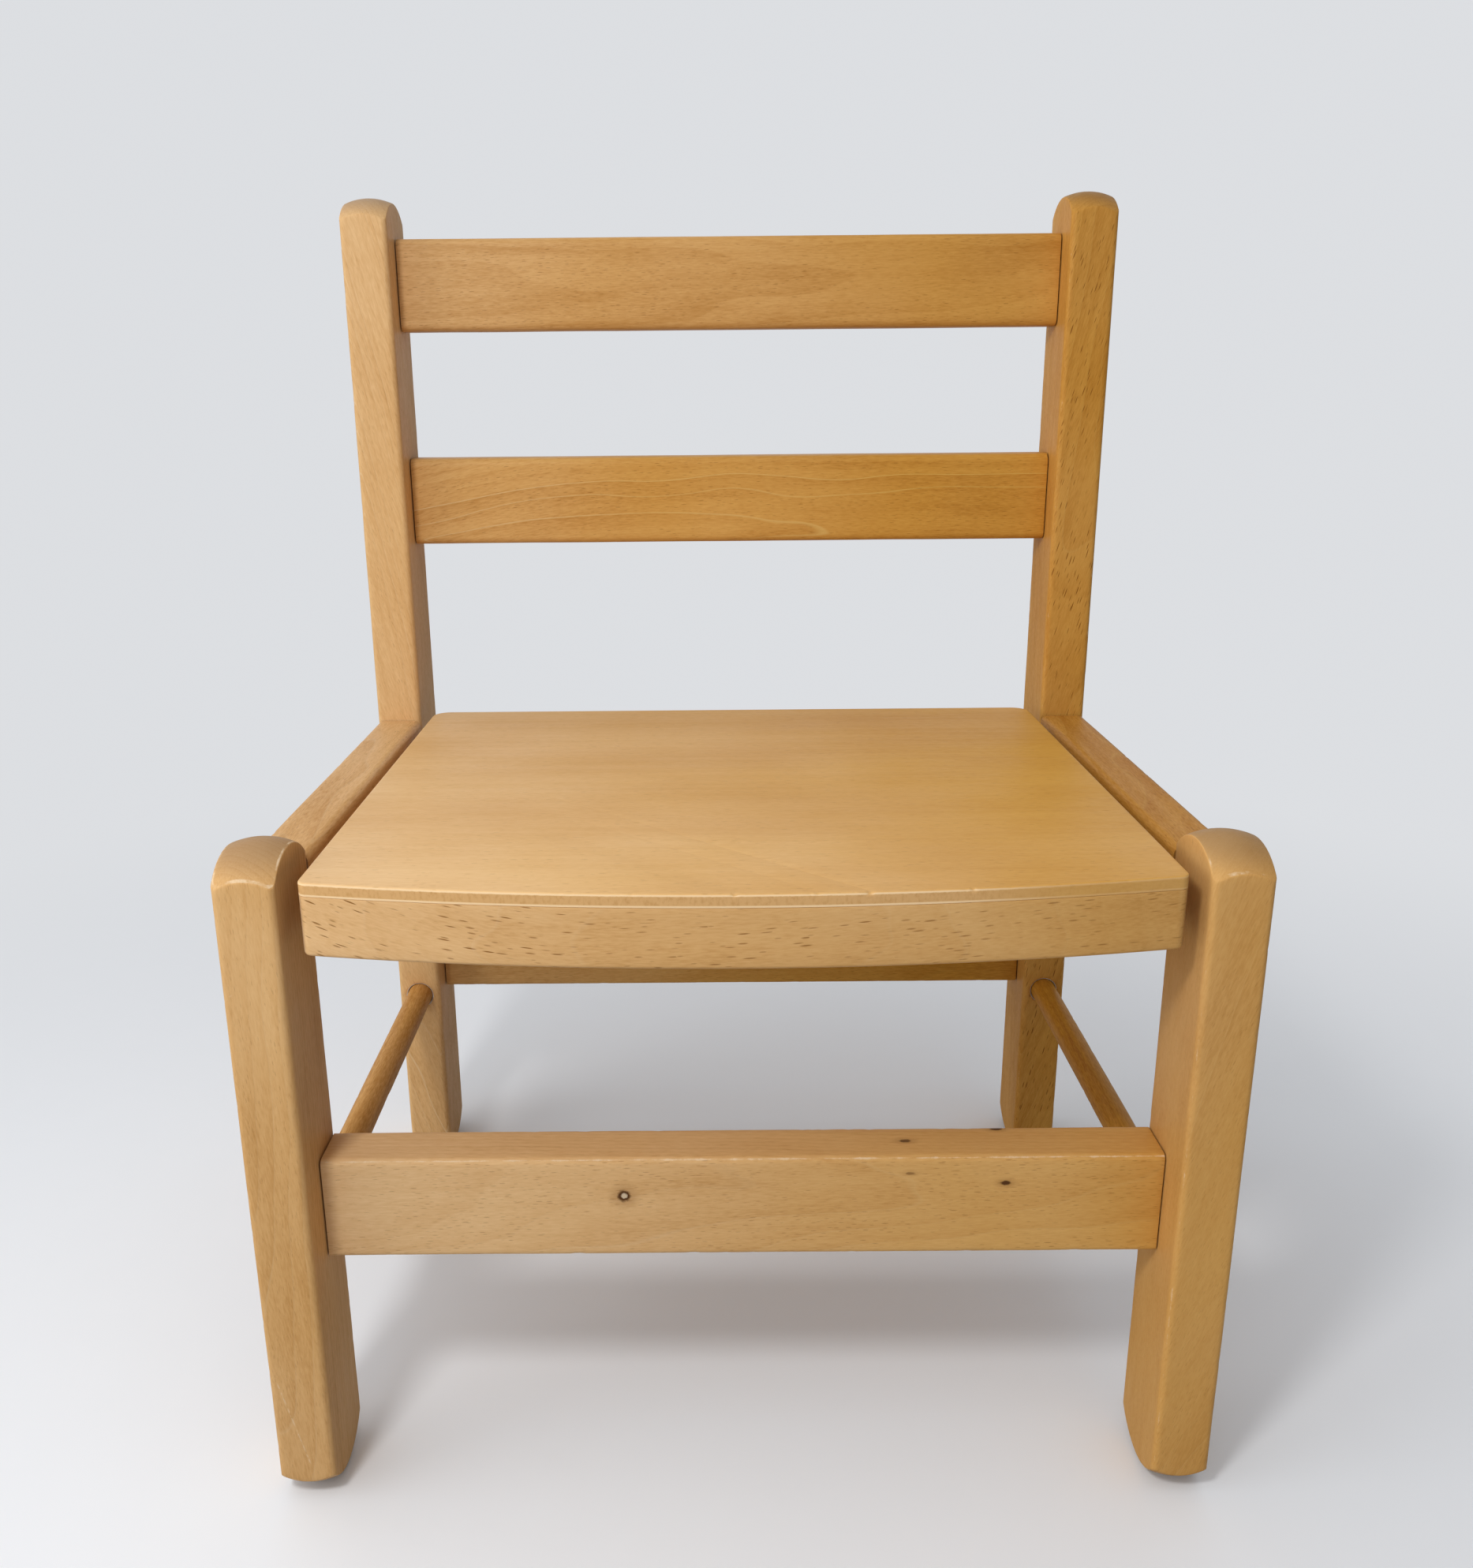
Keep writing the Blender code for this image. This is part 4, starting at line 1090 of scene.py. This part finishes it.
class CHAIR_OT_bars(ChairOperator, bpy.types.Operator):
    """Make the rails, stretchers and slats"""

    bl_idname = "chair.make_bars"
    bl_label = "Make the Rails, Stretchers and Slats"

    def execute(self, context):
        settings = context.scene.beech_chair
        rail, stretcher = settings.woodwork.rail_arris, settings.woodwork.stretcher_arris
        # Painted shade: each bar's amber tint grows towards the chair's right side, more steeply where a
        # slope is given.
        cuts = {
            "side_rail_left": (ALONG_Y, rail, dict(
                pith=(70.0, 12.0), tilt=(0.03, 0.02), warmth=0.08, contrast=0.75,
            )),
            "side_rail_right": (ALONG_Y, rail, dict(
                pith=(80.0, -20.0), tilt=(0.02, 0.02), warmth=0.24, contrast=0.75,
            )),
            "front_stretcher": (ALONG_X, stretcher, dict(
                pith=(95.0, -8.0), tilt=(0.02, 0.03), warmth=-0.11, amber=0.26, amber_slope=0.6, wear=1.2,
                contrast=0.65,
            )),
            "rear_stretcher": (ALONG_X, stretcher, dict(pith=(80.0, 5.0), tilt=(0.01, 0.02), amber=0.75)),
            "lower_slat": (ALONG_X, rail, dict(
                pith=(95.0, 22.0), tilt=(0.0, 0.01), pale_lines=0.8, warmth=-0.02, amber=0.74,
                amber_slope=0.4, bend=1.2, contrast=0.85,
            )),
            "upper_slat": (ALONG_X, rail, dict(
                pith=(105.0, 4.0), tilt=(0.02, 0.02), pale_lines=0.1, warmth=0.09, contrast=0.62,
            )),
        }
        for index, (node, (grain, arris, cut)) in enumerate(cuts.items()):
            cut["shift"] = index + 0.7
            make_bar(settings, "rail_beech", node, grain, cut, arris, index + 7.5)
        return {"FINISHED"}


class CHAIR_OT_rods(ChairOperator, bpy.types.Operator):
    """Make the round side stretchers"""

    bl_idname = "chair.make_rods"
    bl_label = "Make the Round Side Stretchers"

    def execute(self, context):
        settings = context.scene.beech_chair
        for index, side in enumerate(SIDES):
            node = f"side_stretcher_{side}"
            low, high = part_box(node)
            arris = (high[0] - low[0]) / 2 * ROD_ROUNDNESS
            cut = dict(pith=(40.0, 15.0), shift=index + 11.0, warmth=0.22, amber=1.0, wear=0.0)
            make_bar(settings, "rail_beech", node, ALONG_Y, cut, arris, index + 20.5, corner_lines=6)
        return {"FINISHED"}


class CHAIR_OT_seat(ChairOperator, bpy.types.Operator):
    """Make the plywood seat and its apron"""

    bl_idname = "chair.make_seat"
    bl_label = "Make the Seat and Apron"

    def execute(self, context):
        settings = context.scene.beech_chair
        seat = settings.seat
        low, high = SEAT_BOX
        outline = bowed_outline(SEAT_BOX, seat, seat.back_corner, SEAT_EDGE_STEP)
        levels = [0.08, 0.22, 0.4, 0.6, 0.78]
        profile = rounded_profile(low[2], high[2], LOWER_PLY_ARRIS, seat.top_arris, levels)
        top = slab_piece("seat_top_ply", outline, profile, plywood_material(settings))
        chip_edge(top, seat)
        mark_arris(top, profile, len(outline))
        place_piece(top, "seat_plywood", "seat_top")

        outline = bowed_outline(APRON_BOX, seat, seat.front_corner, APRON_EDGE_STEP)
        foot, head = APRON_BOX[0][2], low[2] - APRON_SKIN_GAP
        profile = rounded_profile(foot, head, seat.apron_arris, UPPER_APRON_ARRIS, [0.3, 0.6, 0.9])
        # Painted shade: the apron's amber tint grows towards the chair's right side.
        beech = BeechMaterial(
            "beech_apron", settings.beech, "seat_apron", ALONG_X, pith=(120.0, 6.0), tilt=(0.04, 0.02),
            shift=15.2, contrast=0.6, flecks=0.9, fleck_slope=-0.35, fleck_length=1.15, fleck_width=1.15,
            fleck_spacing=0.8, rings=0.4, pale_lines=0.1, amber=0.24, amber_slope=0.45, warmth=-0.03,
            bend=-1.7,
        )
        apron = slab_piece("seat_apron_wood", outline, profile, beech.finish())
        place_piece(apron, "rail_beech", "seat_apron")
        return {"FINISHED"}


class CHAIR_OT_under(ChairOperator, bpy.types.Operator):
    """Make the battens and bearers under the seat"""

    bl_idname = "chair.make_underframe"
    bl_label = "Make the Battens and Bearers"

    def execute(self, context):
        settings = context.scene.beech_chair
        arris = settings.woodwork.batten_arris
        grains = {
            "seat_back_batten": ALONG_X, "seat_batten_left": ALONG_Y, "seat_batten_right": ALONG_Y,
            "seat_bearer_front": ALONG_X, "seat_bearer_rear": ALONG_X,
        }
        for index, (node, grain) in enumerate(grains.items()):
            cut = dict(pith=(55.0 + 9.0 * index, 14.0), shift=index + 22.0, warmth=0.04)
            make_bar(settings, "bare_beech", node, grain, cut, arris, index + 30.5, end_edge=arris / 2)
        return {"FINISHED"}


class CHAIR_OT_fixings(ChairOperator, bpy.types.Operator):
    """Make the screws and dress the dowel pins"""

    bl_idname = "chair.make_fixings"
    bl_label = "Make the Screws and Pins"

    def execute(self, context):
        settings = context.scene.beech_chair
        nodes = [f"seat_screw_{end}_{side}" for end in ("front", "rear") for side in SIDES]
        centres = [middle_of(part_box(node)) for node in nodes]
        middle = sum(centres, Vector()) / len(centres)
        low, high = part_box(nodes[0])
        values = {
            "Spread X": abs(centres[1].x - centres[0].x), "Spread Y": abs(centres[2].y - centres[0].y),
            "Head": high[0] - low[0], "Shank": (high[0] - low[0]) / 2, "Length": high[2] - low[2],
            "Tip": SCREW_TIP, "Recess": SCREW_RECESS, "Finish": zinc_material(),
        }
        screws = grow("seat_screws_zinc", "seat_screws", values)
        screws.data.transform(Matrix.Translation((0.0, middle.y, low[2])))
        place_piece(screws, "zinc", *nodes)

        pins = BeechMaterial("beech_pins", settings.beech, nodes[0], ALONG_X, pith=(30.0, 9.0))
        pin_finish = pins.finish()
        for name in frame["nodes"]:
            if name.startswith("pin_"):
                bpy.data.objects[name].material_slots[0].material = pin_finish
        return {"FINISHED"}


class CHAIR_OT_stage(ChairOperator, bpy.types.Operator):
    """Set the floor, the lamps and the camera"""

    bl_idname = "chair.set_stage"
    bl_label = "Set the Stage"

    def execute(self, context):
        stage = context.scene.beech_chair.stage
        make_floor(stage)
        make_light(stage)
        make_camera(stage)
        context.scene.view_settings.view_transform = "Standard"
        return {"FINISHED"}


class CHAIR_PT_steps(bpy.types.Panel):
    """The chair's steps, in the order they are run"""

    bl_label = "Child's Beech Chair"
    bl_space_type = "VIEW_3D"
    bl_region_type = "UI"
    bl_category = "Chair"

    def draw(self, context):
        for operator in OPERATORS:
            self.layout.operator(operator.bl_idname)


OPERATORS = (
    CHAIR_OT_trees, CHAIR_OT_legs, CHAIR_OT_bars, CHAIR_OT_rods, CHAIR_OT_seat, CHAIR_OT_under,
    CHAIR_OT_fixings, CHAIR_OT_stage,
)
SETTINGS = (BeechSettings, WoodworkSettings, SeatSettings, StageSettings, ChairSettings)
CLASSES = (*SETTINGS, *OPERATORS, CHAIR_PT_steps)


def register():
    for item in CLASSES:
        bpy.utils.register_class(item)
    bpy.types.Scene.beech_chair = PointerProperty(type=ChairSettings)


def unregister():
    del bpy.types.Scene.beech_chair
    for item in reversed(CLASSES):
        bpy.utils.unregister_class(item)


def main():
    register()
    for obj in [o for o in bpy.data.objects if o.type in {"LIGHT", "CAMERA"} or o.name == "Cube"]:
        bpy.data.objects.remove(obj)
    bpy.ops.chair.make_trees()
    bpy.ops.chair.make_legs()
    bpy.ops.chair.make_bars()
    bpy.ops.chair.make_rods()
    bpy.ops.chair.make_seat()
    bpy.ops.chair.make_underframe()
    bpy.ops.chair.make_fixings()
    bpy.ops.chair.set_stage()


if __name__ == "__main__":
    main()
